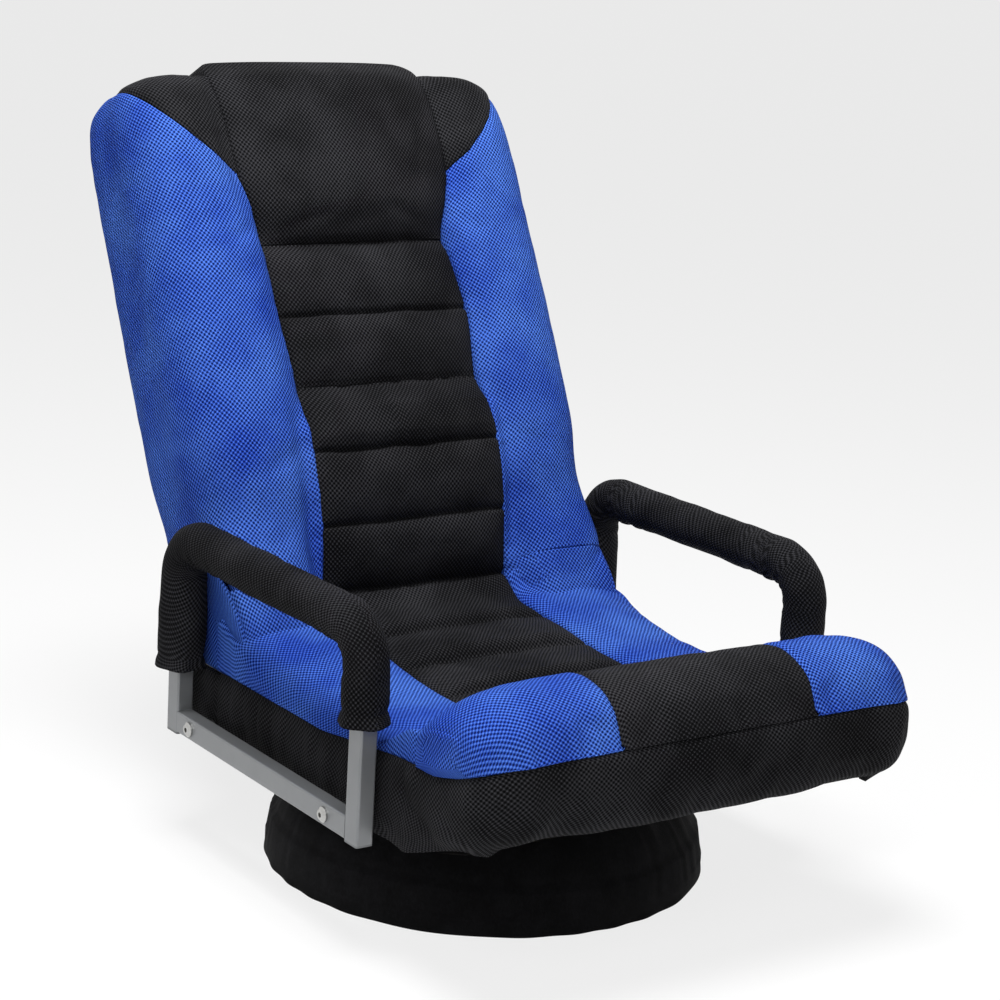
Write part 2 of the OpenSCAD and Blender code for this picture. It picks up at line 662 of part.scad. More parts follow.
// Height of the pad's seam line above its lowest part, along the seat
seat_line_shares = [[-0.64, 0.1], [-0.26, 0], [-0.09, 0.12], [0.11, 0.5], [0.21, 0.62],
  [0.31, 0.8], [0.4, 1.7]];
function seat_line(y) = foam_top_z + seat_pad_h * (1 + lookup(y / seat_front, seat_line_shares));
crease_angle = 53;
seat_pad_front = roll_rear_y + soft_gap;
seat_pad_rear = hinge_y - lumbar_end_r * cos(crease_angle);
seat_bolster_rear = hinge_y - knuckle_r * cos(crease_angle);
channel_steps = 4;
fold_share = 0.06;
function channel_swell(f) = max(fold_share, swell(f, 4));
across_shares = [-1, -0.93, -0.7, -0.35, 0, 0.35, 0.7, 0.93, 1];
module seat_channel_pad() color(black_mesh)
  difference() {
    skin([for (i = [0 : seat_channel_n * channel_steps])
      let (y = mix(seat_pad_rear, seat_pad_front, i / (seat_channel_n * channel_steps)),
        crown = seat_crown * channel_swell((i % channel_steps) / channel_steps))
      concat([for (a = across_shares)
        [a * (strip_x - pad_seam), y, seat_line(y) + crown * (1 - pow(abs(a), 4))]],
        [[strip_x - pad_seam, y, foam_top_z], [-strip_x + pad_seam, y, foam_top_z]])]);
    pin_cut(lumbar_end_r + soft_gap, -seat_x, seat_x);
  }

// Seam between the blue cover and the black band, along the side of the seat
side_seam_shares = [[-1, 1.35], [-0.94, 1.1], [-0.85, 0.82], [-0.77, 0.6], [-0.68, 0.52], [-0.585, 0.44],
  [-0.44, 0.29], [-0.28, 0.12], [-0.16, 0], [1, 0]];
function side_seam(y) = seam_low_z + roll_axis_h * lookup(y / seat_front, side_seam_shares);
// Extra height of the bolster where it turns up into the back
turn_up_shares = [[0.14, 0], [0.23, 0.1], [0.29, 0.35], [0.36, 1]];
function bolster_top(y) = seat_line(y) + bolster_rise
  + bolster_rise * 1.6 * lookup(y / seat_front, turn_up_shares);
bolster_section_shares = [[0.12, 0.75], [0.32, 1], [0.58, 0.97], [0.78, 0.8], [0.92, 0.5], [0.99, 0.15]];
cheek_in_x = seat_plate_x + hinge_plate_t + head_t + plate_gap;
module seat_bolster(side) color(blue_mesh) on_side(side) {
  difference() {
    skin([for (i = [0 : 17])
      let (y = mix(seat_pad_front, seat_bolster_rear, i / 16), low = seat_line(y), top = bolster_top(y),
        seam = side_seam(y) + seam_room)
      concat([[strip_x, y, foam_top_z], [seat_x - band_t, y, foam_top_z], [seat_x - band_t, y, seam],
        [seat_x - band_t / 4, y, seam]],
        [for (k = [len(bolster_section_shares) - 1 : -1 : 0]) let (p = bolster_section_shares[k])
          [mix(strip_x, seat_x, p[0]), y, p[0] < 0.4 ? mix(low, top, p[1]) : mix(seam, top, p[1])]],
        [[strip_x, y, low]])]);
    pin_cut(knuckle_r + soft_gap, 0, cheek_in_x);
    translate([0, seat_bolster_rear, 0]) cube([seat_x + overrun, knuckle_r, back_h]);
  }
  intersection() {
    pin_cut(knuckle_r, cheek_in_x, cheek_x);
    translate([cheek_in_x, hinge_y - knuckle_r - overrun, seam_low_z + soft_gap])
      cube([cheek_x - cheek_in_x, knuckle_r + overrun + rear_t * 0.6, 2 * knuckle_r]);
  }
}
module seat_bolster_left() seat_bolster(-1);
module seat_bolster_right() seat_bolster(1);

// Front roll: a round section that follows the seam's corner in plan and drops at its ends
roll_corner_x = roll_x - corner_r;
function corner_share(x) = clamp((x - roll_corner_x) / corner_r);
function corner_fall(x) = sqrt(1 - pow(corner_share(x), 2));
function roll_seam_at(x) = roll_seam_y + corner_r * (1 - corner_fall(x));
function roll_height(x) = mix(0.42, 1, corner_fall(x));
function seam_h(x, y) = min(side_seam(y), roll_z + roll_r * roll_height(x) * sin(seam_angle));
roll_angles = [30, 46, 62, 78, 94, 110, 126, 142, 158, 174];
function roll_under(x) = let (front = roll_seam_at(x),
    low = min(roll_y - band_t, front + 2.5 * band_t * (1 + corner_share(x))),
    mid = (low + roll_rear_y) / 2, fore = (low + front) / 2, on_foam = foam_top_z + soft_gap)
  x < frame_x ? [[x, roll_rear_y, on_foam], [x, mid, on_foam + soft_gap], [x, low, on_foam],
    [x, low, seam_h(x, front) + seam_room]]
  : [for (y = [roll_rear_y, mid, low, fore]) [x, y, side_seam(y) + seam_room]];
function roll_ring(x) = let (front = roll_seam_at(x), r_front = (roll_y - front) / cos(seam_angle))
  concat(roll_under(x), [[x, front, seam_h(x, front) + seam_room]],
    [for (a = roll_angles) [x, roll_y - (a < 90 ? r_front : roll_r * roll_rear_share) * cos(a),
      roll_z + roll_r * roll_height(x) * sin(a)]]);
roll_xs = [strip_x, mix(strip_x, roll_corner_x, 0.45), mix(strip_x, roll_corner_x, 0.82), roll_corner_x,
  mix(roll_corner_x, frame_x, 0.55), frame_x - soft_gap, frame_x + soft_gap, mix(frame_x, roll_x, 0.5),
  roll_x - band_t / 4];
module front_roll_middle() color(black_mesh)
  skin([for (f = [-1, -0.5, 0, 0.5, 1]) roll_ring(f * (strip_x - soft_gap))]);
module front_roll(side) color(blue_mesh) on_side(side) skin([for (x = roll_xs) roll_ring(x)]);
module front_roll_left() front_roll(-1);
module front_roll_right() front_roll(1);

// The band: one strip of cover from the rear of one side round the front to the other.
// Each station is x, y, the direction it faces, the heights of its seam and lower edge,
// and how far its lower edge curls in.
side_curl = band_t / 2;
corner_curl = corner_r * 0.62;
sleeve_low_z = arm_top_z - sleeve_rear_drop;
function band_side(y) = [mix(seat_x, roll_x, clamp((-y / seat_front - 0.55) / 0.2)), y, 0,
  y > seat_bolster_rear ? sleeve_low_z - side_room : side_seam(y), under_z(y) + under_t,
  mix(side_curl, corner_curl, clamp((-y / seat_front - 0.62) / 0.3))];
function band_corner(a) = let (x = roll_corner_x + corner_r * cos(a),
  y = roll_seam_y + corner_r - corner_r * sin(a))
  [x, y, -a, seam_h(x, y), band_front_z + under_t, corner_curl];
function band_front(f) = [roll_corner_x * f, roll_seam_y, -90, roll_seam_z, band_front_z + under_t,
  mix(corner_curl, front_curl, min(1, 2.2 * (1 - f) + 0.35))];
band_side_shares = [0.57, 0.5, 0.4, 0.34, 0.2, 0, -0.2, -0.35, -0.48, -0.6, -0.7, -0.78, -0.85];
band_half = concat([for (f = band_side_shares) band_side(f * seat_front)],
  [for (a = [10, 30, 50, 70]) band_corner(a)], [for (f = [1, 0.75, 0.4]) band_front(f)]);
band_stations = concat(band_half, [band_front(0)], [for (i = [len(band_half) - 1 : -1 : 0])
  let (p = band_half[i]) [-p[0], p[1], -180 - p[2], p[3], p[4], p[5]]]);
// Swell, drop and curl of each point of the band's section, outer face then inner
band_section_shares = [[-0.3, 0, 0], [0.6, 0.12, 0], [1, 0.35, 0], [0.7, 0.6, 0.06], [0.2, 0.82, 0.3],
  [0, 1, 1]];
band_inner_shares = [[0.86, 0.95, 1], [0.97, 0.72, 0.42], [1, 0.45, 0.08], [0.97, 0, 0]];
function band_ring(p) = [for (q = concat(
    [for (e = band_section_shares) [band_swell * e[0] - p[5] * e[2], e[1]]],
    [for (e = band_inner_shares) [-band_t * e[0] - (p[5] > band_t ? p[5] * e[2] : 0), e[1]]]))
  [p[0] + q[0] * cos(p[2]), p[1] + q[0] * sin(p[2]), mix(p[3], p[4], q[1])]];
module seat_band() color(black_mesh)
  difference() {
    skin([for (p = band_stations) band_ring(p)]);
    both_sides() arm_bolt_places() translate([0, 0, frame_x])
      cylinder(d = spacer_d + 2 * soft_gap, h = spacer_len);
  }
module underside_cloth() color(black_cloth)
  rotate([90, 0, 90]) difference() {
    translate([0, 0, -frame_x]) linear_extrude(2 * frame_x) polygon([
      [rear_tube_y, frame_z - under_t], [-rail_front, frame_z - under_t],
      [under_front_y, band_front_z - under_t], [under_front_y, band_front_z], [-rail_front, frame_z],
      [rear_tube_y, frame_z]]);
    rotate([-90, 0, 0]) translate([0, 0, frame_z - overrun]) linear_extrude(2 * overrun)
      round_rect(plate_w + 4 * soft_gap, plate_w + 4 * soft_gap, plate_corner_r);
  }

// Ratchet hinges. The seat plates stand on the side rails; the back plates turn beside
// them and carry the teeth; a sprung pawl on each seat plate drops between two teeth.
stud_at = [hinge_y + pawl_dy, hinge_z + pawl_dz];
plate_r = hinge_head_d / 2 + hinge_plate_t;
function polar(r, a) = [r * cos(a), r * sin(a)];
module in_side_plane(x, t) { translate([x, 0, 0]) rotate([90, 0, 90]) linear_extrude(t) children(); }
module hinge_seat_plates() color(bare_steel)
  both_sides() in_side_plane(seat_plate_x, hinge_plate_t) difference() {
    union() {
      translate([hinge_y, hinge_z]) circle(plate_r, $fn = 96);
      translate(stud_at) circle(stud_d + hinge_plate_t / 2);
      polygon([[hinge_y - plate_r, hinge_z], [stud_at[0] - stud_d, stud_at[1] + stud_d],
        [stud_at[0] - stud_d, frame_top_z], [rail_rear - tube_corner_r, frame_top_z],
        [hinge_y + plate_r, hinge_z]]);
    }
    translate([hinge_y, hinge_z]) circle(d = hinge_pin_d + 2 * run_fit);
    translate(stud_at) circle(d = stud_d + 2 * run_fit);
  }
module hinge_pins() color(nickel)
  both_sides() at_hinge() along_x() {
    translate([0, 0, back_plate_x - head_t - run_fit]) cylinder(d = hinge_head_d, h = head_t);
    translate([0, 0, back_plate_x - head_t])
      cylinder(d = hinge_pin_d, h = 2 * hinge_plate_t + plate_gap + 2 * head_t);
    translate([0, 0, seat_plate_x + hinge_plate_t + run_fit]) cylinder(d = hinge_head_d, h = head_t);
  }
pawl_x = back_plate_x + run_fit;
pawl_t = hinge_plate_t - 2 * run_fit;
module pawl_studs() color(nickel)
  both_sides() translate([0, stud_at[0], stud_at[1]]) along_x() {
    translate([0, 0, pawl_x - head_t - run_fit]) cylinder(d = stud_d * 1.6, h = head_t);
    translate([0, 0, pawl_x - head_t]) cylinder(d = stud_d,
      h = seat_plate_x + hinge_plate_t - pawl_x + head_t);
  }
// The pawl is drawn just clear of the teeth, and turns up by its travel to drop between them
tip_clear = 0.6;
pawl_tip = polar(ratchet_r + tip_clear, tip_angle);
pawl_heel = pawl_tip - [0, 0.317 * ratchet_r];
pawl_back = [pawl_dy, pawl_dz - 0.95 * stud_d];
module pawl(side) color(nickel) on_side(side)
  in_side_plane(pawl_x, pawl_t) translate([hinge_y, hinge_z]) difference() {
    union() {
      translate([pawl_dy, pawl_dz]) circle(stud_d);
      polygon([[pawl_dy + 0.25 * stud_d, pawl_dz + 0.92 * stud_d], [-0.407, -1.107] * ratchet_r, pawl_tip,
        pawl_heel, pawl_back]);
    }
    translate([pawl_dy, pawl_dz]) circle(d = stud_d + 2 * run_fit);
  }
module pawl_left() pawl(-1);
module pawl_right() pawl(1);
// A leaf spring stands on each side rail and bears on the pawl from below
spring_t = 0.8;
foot_z = -hinge_h + spring_t / 2;
spring_end = mix(pawl_heel, pawl_back, 0.24) - [0, spring_t];
spring_path = [[-1.53 * ratchet_r, foot_z], [-ratchet_r, foot_z],
  [-0.8 * ratchet_r, mix(foot_z, spring_end[1], 0.25)], [-0.55 * ratchet_r, mix(foot_z, spring_end[1], 0.85)],
  spring_end];
module pawl_springs() color(bare_steel)
  both_sides() in_side_plane(pawl_x, pawl_t) translate([hinge_y, hinge_z]) {
    for (i = [0 : len(spring_path) - 2]) let (step = spring_path[i + 1] - spring_path[i])
      translate(spring_path[i]) rotate(atan2(step[1], step[0])) translate([0, -spring_t / 2])
        square([norm(step), spring_t]);
    for (i = [1 : len(spring_path) - 1]) translate(spring_path[i]) circle(d = spring_t);
  }

// Back, drawn upright about the hinge pins: its front faces -Y and s runs up it
hinge_arm_h = back_h * 0.23;
module hinge_back_plate(side) color(bare_steel) on_side(side) on_back()
  in_side_plane(back_plate_x, hinge_plate_t) difference() {
    union() {
      circle(ratchet_r, $fn = 96);
      translate([-hinge_arm_w / 2, 0]) square([hinge_arm_w, hinge_arm_h - hinge_arm_w / 2]);
      translate([0, hinge_arm_h - hinge_arm_w / 2]) circle(d = hinge_arm_w);
    }
    for (k = [-1 : position_n - 2]) rotate(tip_angle + back_lean + k * tooth_pitch) polygon([
      polar(ratchet_r + overrun, tooth_pitch * 0.2), polar(ratchet_r - tooth_h, tooth_pitch * 0.2),
      polar(ratchet_r - tooth_h, -tooth_pitch * 0.12),
      polar(ratchet_r + tip_clear, -tooth_pitch * 0.7)]);
    circle(d = hinge_pin_d + 2 * run_fit);
  }
module hinge_back_plate_left() hinge_back_plate(-1);
module hinge_back_plate_right() hinge_back_plate(1);

frame_low = back_h * 0.05;
frame_high = core_top - back_tube_d * 1.1;
module back_loop(d, spare = 0) {
  both_sides() {
    translate([tube_x, 0, frame_low - spare])
      cylinder(d = d, h = frame_high - frame_low - back_bend_r + spare);
    translate([tube_x - back_bend_r, 0, frame_high - back_bend_r]) rotate([90, 0, 0])
      rotate_extrude(angle = 90) translate([back_bend_r, 0]) circle(d = d);
  }
  translate([-tube_x + back_bend_r, 0, frame_high]) along_x()
    cylinder(d = d, h = 2 * (tube_x - back_bend_r));
}
module back_frame() color(bare_steel) on_back() {
  difference() {
    back_loop(back_tube_d);
    back_loop(back_tube_d - 2 * round_wall, overrun);
  }
}
cross_bar_shares = [0.09, 0.33, 0.62];
module back_cross_bars() color(bare_steel) on_back()
  for (f = cross_bar_shares) difference() {
    translate([-tube_x, 0, f * back_h]) along_x() cylinder(d = cross_bar_d, h = 2 * tube_x);
    both_sides() translate([tube_x, 0, 0]) cylinder(d = back_tube_d, h = back_h);
  }
strap_room = frame_high - back_bend_r - frame_low;
module back_straps() color(web_black) on_back()
  for (i = [0 : back_strap_n - 1])
    translate([-tube_x, -back_tube_d / 2 - strap_t,
      frame_low + strap_room * (i + 0.5) / back_strap_n - strap_w / 2])
      cube([2 * tube_x, strap_t, strap_w]);
module back_slab(t0, t1, half_w) {
  translate([-half_w, -t1, core_bottom]) cube([2 * half_w, t1 - t0, core_top - core_bottom]);
}
module back_front_foam() color(foam_cream) on_back()
  back_slab(back_tube_d / 2 + strap_t, pad_plane, core_x);
module back_rear_foam() color(foam_cream) on_back()
  back_slab(-rear_plane, -back_tube_d / 2, core_x);
module back_rear_cover() color(black_cloth) on_back()
  translate([0, rear_t, (core_top + core_bottom) / 2]) rotate([90, 0, 0])
    linear_extrude(rear_cover_t - soft_gap) round_rect(2 * rear_wrap_x - 2 * soft_gap,
      core_top - core_bottom, back_tube_d);

// Tables along the back, as shares of its height and of the lumbar pad's depth
seam_depth_shares = [[0.051, 0.6], [0.106, 0.734], [0.172, 0.881], [0.243, 0.972], [0.319, 1],
  [0.397, 0.835], [0.438, 0.85], [0.478, 0.862], [0.564, 0.81], [0.625, 0.75], [0.655, 0.68],
  [0.728, 0.8], [0.771, 0.81], [0.87, 0.77], [0.957, 0.606], [1, 0.37]];
crest_depth_shares = [[0.061, 0.8], [0.106, 0.84], [0.172, 0.954], [0.243, 1.037], [0.319, 1.073],
  [0.435, 1.064], [0.58, 1.028], [0.725, 0.97], [0.812, 0.94], [0.884, 0.86], [0.935, 0.7], [0.977, 0.4]];
width_shares = [[0, 1], [0.58, 1], [0.8, 0.985], [0.88, 0.96], [0.92, 0.92], [0.95, 0.86], [0.977, 0.74]];
rear_depth_shares = [[0.87, 1], [0.93, 0.86], [0.96, 0.6], [0.99, 0.15]];
strip_width_shares = [[0, 0.481], [0.33, 0.492], [0.4, 0.477], [0.52, 0.5], [0.65, 0.488],
  [0.73, 0.527], [0.77, 0.554], [1, 0.57]];
function seam_t(s) = s < back_h * 0.051 ? sqrt(max(0, pow(lumbar_end_r, 2) - s * s))
  : lumbar_t * lookup(s / back_h, seam_depth_shares);
function crest_t(s) = s < back_h * 0.061 ? sqrt(max(0, pow(knuckle_r, 2) - s * s))
  : lumbar_t * lookup(s / back_h, crest_depth_shares);
function outer_x(s) = back_x * lookup(s / back_h, width_shares);
function back_strip_x(s) = back_x * lookup(s / back_h, strip_width_shares);
function rear_at(s) = -rear_t * lookup(s / back_h, rear_depth_shares);

// Section of the side of the back, from the channelled strip round the side to the rear:
// share of the way from the seam to the side, and share of the way from the rear to the crest
back_section_shares = [[0.1, 0.93], [0.24, 0.985], [0.42, 1], [0.62, 0.985], [0.8, 0.92], [0.93, 0.8],
  [0.995, 0.62], [1, 0.36], [0.995, 0.16], [0.94, 0.03]];
function side_ring(s) =
  let (x0 = back_strip_x(s), x1 = outer_x(s), front = crest_t(s), rear = rear_at(s), open = s > core_top)
  concat([[x0, -min(front, max(seam_t(s), s < back_h * 0.061 ? front : 0)), s]],
    [for (p = back_section_shares) [mix(x0, x1, p[0]), -mix(rear, front, p[1]), s]],
    open ? [for (f = [0, 0.2, 0.4, 0.6, 0.8]) [x0 + side_room * swell(f), -mix(rear, pad_plane, f), s]]
      : [[rear_wrap_x, -rear, s], [rear_wrap_x, rear_plane + soft_gap, s],
        [wall_x, rear_plane + soft_gap, s], [wall_x, -pad_plane - soft_gap, s],
        [x0, -pad_plane - soft_gap, s]]);
crown_stop_shares = [0.977, 0.968, 0.955, 0.94, 0.9255];
bolster_stop_shares = [0.89, 0.84, 0.78, 0.7, 0.6, 0.5, 0.4, 0.319, 0.243, 0.172, 0.106, 0.061, 0.03, 0,
  -0.033, -0.075];
side_stops = concat([for (f = crown_stop_shares) f * back_h], [core_top],
  [for (f = bolster_stop_shares) f * back_h]);
side_low = -back_h * 0.065;
module back_side() {
  difference() {
    skin([for (s = side_stops) side_ring(s)]);
    translate([0, -back_h / 2, side_low - back_h]) cube([back_h, back_h, back_h]);
    translate([narrow_x, 0, 0]) along_x() cylinder(r = knuckle_r + soft_gap, h = overrun + back_x, $fn = 96);
  }
}
// The shoulder patch lies above a slanted plane through its seam
shoulder_low = back_h * 0.771;
shoulder_rise = 40;
shoulder_tilt = 26;
module shoulder_plane() {
  translate([back_x * 0.554, -lumbar_t * 0.81, shoulder_low])
    rotate([shoulder_tilt, 0, 0]) rotate([0, -shoulder_rise, 0]) children();
}
module back_bolster(side) color(blue_mesh) on_side(side) on_back()
  intersection() {
    back_side();
    shoulder_plane() translate([-back_h, -back_h, -2 * back_h]) cube(2 * back_h);
  }
module shoulder(side) color(black_mesh) on_side(side) on_back()
  intersection() {
    back_side();
    shoulder_plane() translate([-back_h, -back_h, soft_gap]) cube(2 * back_h);
  }
// Lower edge of the side panels, so that its rear corner swings clear of the rail
panel_low = -sqrt(pow(hinge_h - 2 * soft_gap, 2) - pow(rear_t, 2));
module back_side_panels() color(blue_mesh)
  both_sides() on_back() translate([narrow_x + soft_gap, 0, 0]) difference() {
    intersection() {
      along_x() cylinder(r = knuckle_r, h = panel_t - soft_gap, $fn = 96);
      translate([0, -knuckle_r, panel_low]) cube([panel_t, knuckle_r + rear_t, 2 * knuckle_r]);
    }
    translate([-overrun, -back_tube_d / 2 - soft_gap, frame_low - soft_gap])
      cube([2 * overrun, back_tube_d + 2 * soft_gap, knuckle_r]);
  }
module back_bolster_left() back_bolster(-1);
module back_bolster_right() back_bolster(1);
module shoulder_left() shoulder(-1);
module shoulder_right() shoulder(1);

// Channelled pads between the bolsters, from one deep fold to the next
pad_seam = 4 * soft_gap;
function end_t(s) = s < back_h * 0.052 ? sqrt(pow(lumbar_end_r, 2) - s * s) : 2 * lumbar_t;
module channel_pad(stops) {
  skin([for (i = [0 : len(stops) - 2]) for (k = [0 : channel_steps - (i < len(stops) - 2 ? 1 : 0)])
    let (f = k / channel_steps, s = mix(stops[i], stops[i + 1], f) * back_h,
      w = back_strip_x(s) - pad_seam, deep = mix(seam_t(stops[i] * back_h), seam_t(stops[i + 1] * back_h), f),
      edge = min(seam_t(s), deep + back_crown / 2), crown = back_crown * channel_swell(f))
    concat([for (a = across_shares) [-a * w, -min(end_t(s) - soft_gap * pow(abs(a), 4),
      edge + crown * (1 - pow(abs(a), 4))), s]],
      [[-w, -pad_plane, s], [w, -pad_plane, s]])]);
}
lumbar_stop_shares = [-0.065, 0.051, 0.159, 0.281, 0.397];
module lumbar_pad() color(black_mesh) on_back() channel_pad(lumbar_stop_shares);
module upper_back_pad() color(black_mesh) on_back() channel_pad([0.398, 0.522, 0.654]);

// Headrest: proud of the cover, drawn in at its foot, and wrapped over the top of the back
headrest_stop_shares = [0.6555, 0.668, 0.69, 0.73, 0.78, 0.83, 0.88, 0.925];
headrest_crown_shares = [0.926, 0.945, 0.965, 0.98, 0.992, 1];
headrest_proud_shares = [[0.655, 0], [0.668, 0.6], [0.69, 0.9], [0.73, 1], [0.88, 1], [0.95, 0.9], [1, 0.4]];
headrest_rear_shares = [[0.925, 1], [0.965, 0.9], [0.985, 0.6], [1, 0.1]];
function headrest_ring(f) = let (s = f * back_h, w = back_strip_x(s) - pad_seam, edge = seam_t(s),
    proud = headrest_proud * lookup(f, headrest_proud_shares),
    rear = f * back_h > core_top ? -rear_t * lookup(f, headrest_rear_shares) : pad_plane)
  concat([for (a = across_shares) [-a * w, -edge - proud * (1 - pow(abs(a), 3)), s]],
    [[-w, -rear, s], [w, -rear, s]]);
module headrest() color(black_mesh) on_back()
  skin([for (f = concat(headrest_stop_shares, headrest_crown_shares)) headrest_ring(f)]);

floor_pads();
base_ring();
base_legs();
hub_plate();
base_cover();
swivel_lower_plate();
swivel_balls();
ball_cage();
swivel_upper_plate();
swivel_pin();
swivel_lower_bolts();
swivel_upper_bolts();
seat_frame();
seat_straps();
arm_spacers();
arm_nuts();
arm_frame_left();
arm_frame_right();
arm_sleeve_left();
arm_sleeve_right();
arm_end_caps();
arm_bolts_left();
arm_bolts_right();
seat_foam();
seat_channel_pad();
seat_bolster_left();
seat_bolster_right();
front_roll_middle();
front_roll_left();
front_roll_right();
seat_band();
underside_cloth();
hinge_seat_plates();
hinge_pins();
pawl_studs();
pawl_springs();
pawl_left();
pawl_right();
hinge_back_plate_left();
hinge_back_plate_right();
back_frame();
back_cross_bars();
back_straps();
back_front_foam();
back_rear_foam();
back_rear_cover();
lumbar_pad();
upper_back_pad();
headrest();
back_side_panels();
back_bolster_left();
back_bolster_right();
shoulder_left();
shoulder_right();
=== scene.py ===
import itertools
import math
from contextlib import contextmanager

import bmesh
import bpy
import numpy as np
from mathutils import Matrix, Vector


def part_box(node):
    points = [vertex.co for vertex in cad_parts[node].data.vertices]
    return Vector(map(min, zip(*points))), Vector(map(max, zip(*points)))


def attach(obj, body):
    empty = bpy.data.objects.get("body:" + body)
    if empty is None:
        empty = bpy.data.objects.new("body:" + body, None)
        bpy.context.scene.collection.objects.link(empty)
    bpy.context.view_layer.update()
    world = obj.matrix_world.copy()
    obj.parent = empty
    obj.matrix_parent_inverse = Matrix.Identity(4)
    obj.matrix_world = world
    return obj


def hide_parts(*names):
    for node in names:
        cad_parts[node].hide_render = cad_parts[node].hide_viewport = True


bl_info = {
    "name": "Swivel floor chair",
    "version": (1, 0, 0),
    "blender": (4, 5, 0),
    "location": "View3D > Sidebar > Floor Chair",
    "description": "Dresses the swivel floor chair in its mesh cloth, sleeves, covers and metal finishes",
    "category": "Object",
}

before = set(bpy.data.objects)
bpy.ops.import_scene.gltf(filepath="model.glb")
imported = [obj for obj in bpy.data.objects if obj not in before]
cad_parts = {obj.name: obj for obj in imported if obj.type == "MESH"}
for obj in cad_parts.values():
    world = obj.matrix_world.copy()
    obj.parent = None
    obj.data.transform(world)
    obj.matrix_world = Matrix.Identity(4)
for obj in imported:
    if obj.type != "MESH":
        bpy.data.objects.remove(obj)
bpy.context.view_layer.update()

# Shapes are worked out in millimetres, as the solids are, and made into meshes in metres
MM = 0.001
GAP = 0.3
WEAVE = "Weave"
SIDES = ((-1, "left"), (1, "right"))

# Sizes of the steel and foam that the cloth goes over
RING_TOP, COVER_R, COVER_OVER_R, COVER_TOP, COVER_BEND_R, COVER_BEND_Z = 26.0, 250.3, 71.8, 113.8, 172.0, 42.0
COVER_HUB_R, COVER_HEM_Z, COVER_FLAT = 102.3, 1.5, 0.66
RAIL_Z, RAIL_FRONT, RAIL_REAR, FRAME_X = 128.5, 232.0, 138.0, 260.0
FOAM_TOP, FOAM_CROWN, BOLSTER_RISE = 204.5, 26.0, 9.0
STRIP_X, SEAT_X, BAND_T, CHEEK_IN, CHEEK_OUT = 125.55, 270.0, 9.4, 253.0, 262.0
SEAT_FRONT, PAD_FRONT, PAD_REAR, BOLSTER_REAR, LIP_REAR, LIP_S = 410.0, -263.45, 164.97, 146.91, 156.0, 51.2
HINGE_Y, HINGE_Z, LUMBAR_END_R, LUMBAR_END_S, KNUCKLE_R, NARROW_X = 209.5, 216.0, 74.0, 35.9, 104.0, 234.0
PANEL_LOW, HINGE_ROOM_R, FLANK_X, BAND_REAR_Z = -26.0, 78.0, 252.2, 202.0
ROLL_R, ROLL_Y, ROLL_Z, ROLL_REAR, ROLL_X, CORNER_R = 75.0, -335.0, 251.5, -263.75, 279.0, 52.0
ROLL_SEAM_Y, ROLL_SEAM_Z, ROLL_CORNER_X, SEAM_ANGLE, ROLL_FALL_X = -407.77, 269.64, 227.0, 14.0, 185.0
BAND_FRONT_Z, UNDER_FRONT_Y, SEAM_LOW_Z, ROLL_AXIS_H = 150.37, -338.37, 207.5, 47.0
FRONT_CURL, CORNER_CURL, SIDE_CURL, HEM_LIFT = 60.0, 32.2, 4.7, 12.0
CORNER_LIFT, BAND_BULGE, ROLL_END_RISE, ROLL_DOME_IN, ROLL_DOME_OUT = 1.9, 4.0, 0.42, 0.3, 2.2
BACK_X, BACK_LEAN, BACK_H, LUMBAR_T, REAR_T, REAR_PLANE = 260.0, math.radians(26.0), 690.0, 109.0, 56.0, 47.0
LEAN_SIN, LEAN_COS = math.sin(BACK_LEAN), math.cos(BACK_LEAN)
SEAT_CHANNEL_H, SEAT_STITCH, BACK_CHANNEL_H, BACK_STITCH, CHANNEL_STEPS = 13.0, 4.5, 12.0, 4.4, (26, 34)
LIP_FROM_Y, LIP_TURN_Y, LIP_BLEND, LIP_PUFF, CHEEK_DIP = 90.0, 80.0, 22.0, 5.5, 0.07
SEAM_DIP, SEAM_HALF = 2.2, 4.0
PAD_PLANE, CORE_TOP, CORE_LOW, CORE_X, REAR_WRAP_X, WALL_X = 30.0, 638.25, -45.14, 231.5, 219.0, 245.3
FRONT_FOAM_T, REAR_FOAM_T, HEAD_LOW = (29.6, 14.2), (-11.6, -46.6), 0.6555
ARM_X, ARM_TOP, ARM_FRONT_Y, ARM_REAR_Y, ARM_BEND = 290.0, 354.0, -189.5, 200.5, 45.0
SLEEVE_R, SLEEVE_FRONT_Z, SLEEVE_REAR_Z = 24.6, 255.0, 204.0
TUBE_HALF_X, TUBE_HALF_Y, TUBE_CORNER_R = 10.2, 12.7, 14.5

# Shares of a length, or of a depth, along the cloth
SEAT_LINE = [(-0.64, 0.1), (-0.26, 0), (-0.09, 0.12), (0.11, 0.5), (0.21, 0.62), (0.31, 0.8), (0.4, 1.7)]
SIDE_SEAM = [(-1, 1.35), (-0.94, 1.1), (-0.85, 0.82), (-0.77, 0.6), (-0.68, 0.52), (-0.585, 0.44),
             (-0.44, 0.29), (-0.28, 0.12), (-0.16, 0), (1, 0)]
BOLSTER_SECTION = [(0.12, 0.75), (0.32, 1), (0.58, 0.97), (0.78, 0.8), (0.92, 0.5), (0.99, 0.15)]
BAND_SECTION = [(-0.3, 0, 0), (0.6, 0.12, 0), (1, 0.35, 0), (0.7, 0.6, 0.06), (0.2, 0.82, 0.3), (0, 1, 1)]
BAND_INNER = [(0.86, 0.95, 1), (0.97, 0.72, 0.42), (1, 0.45, 0.08), (0.97, 0, 0)]
SEAM_DEPTH = [(0.051, 0.6), (0.106, 0.734), (0.172, 0.881), (0.243, 0.972), (0.319, 1), (0.397, 0.835),
              (0.438, 0.85), (0.478, 0.862), (0.564, 0.81), (0.625, 0.75), (0.655, 0.68), (0.728, 0.8),
              (0.771, 0.81), (0.87, 0.77), (0.957, 0.606), (1, 0.37)]
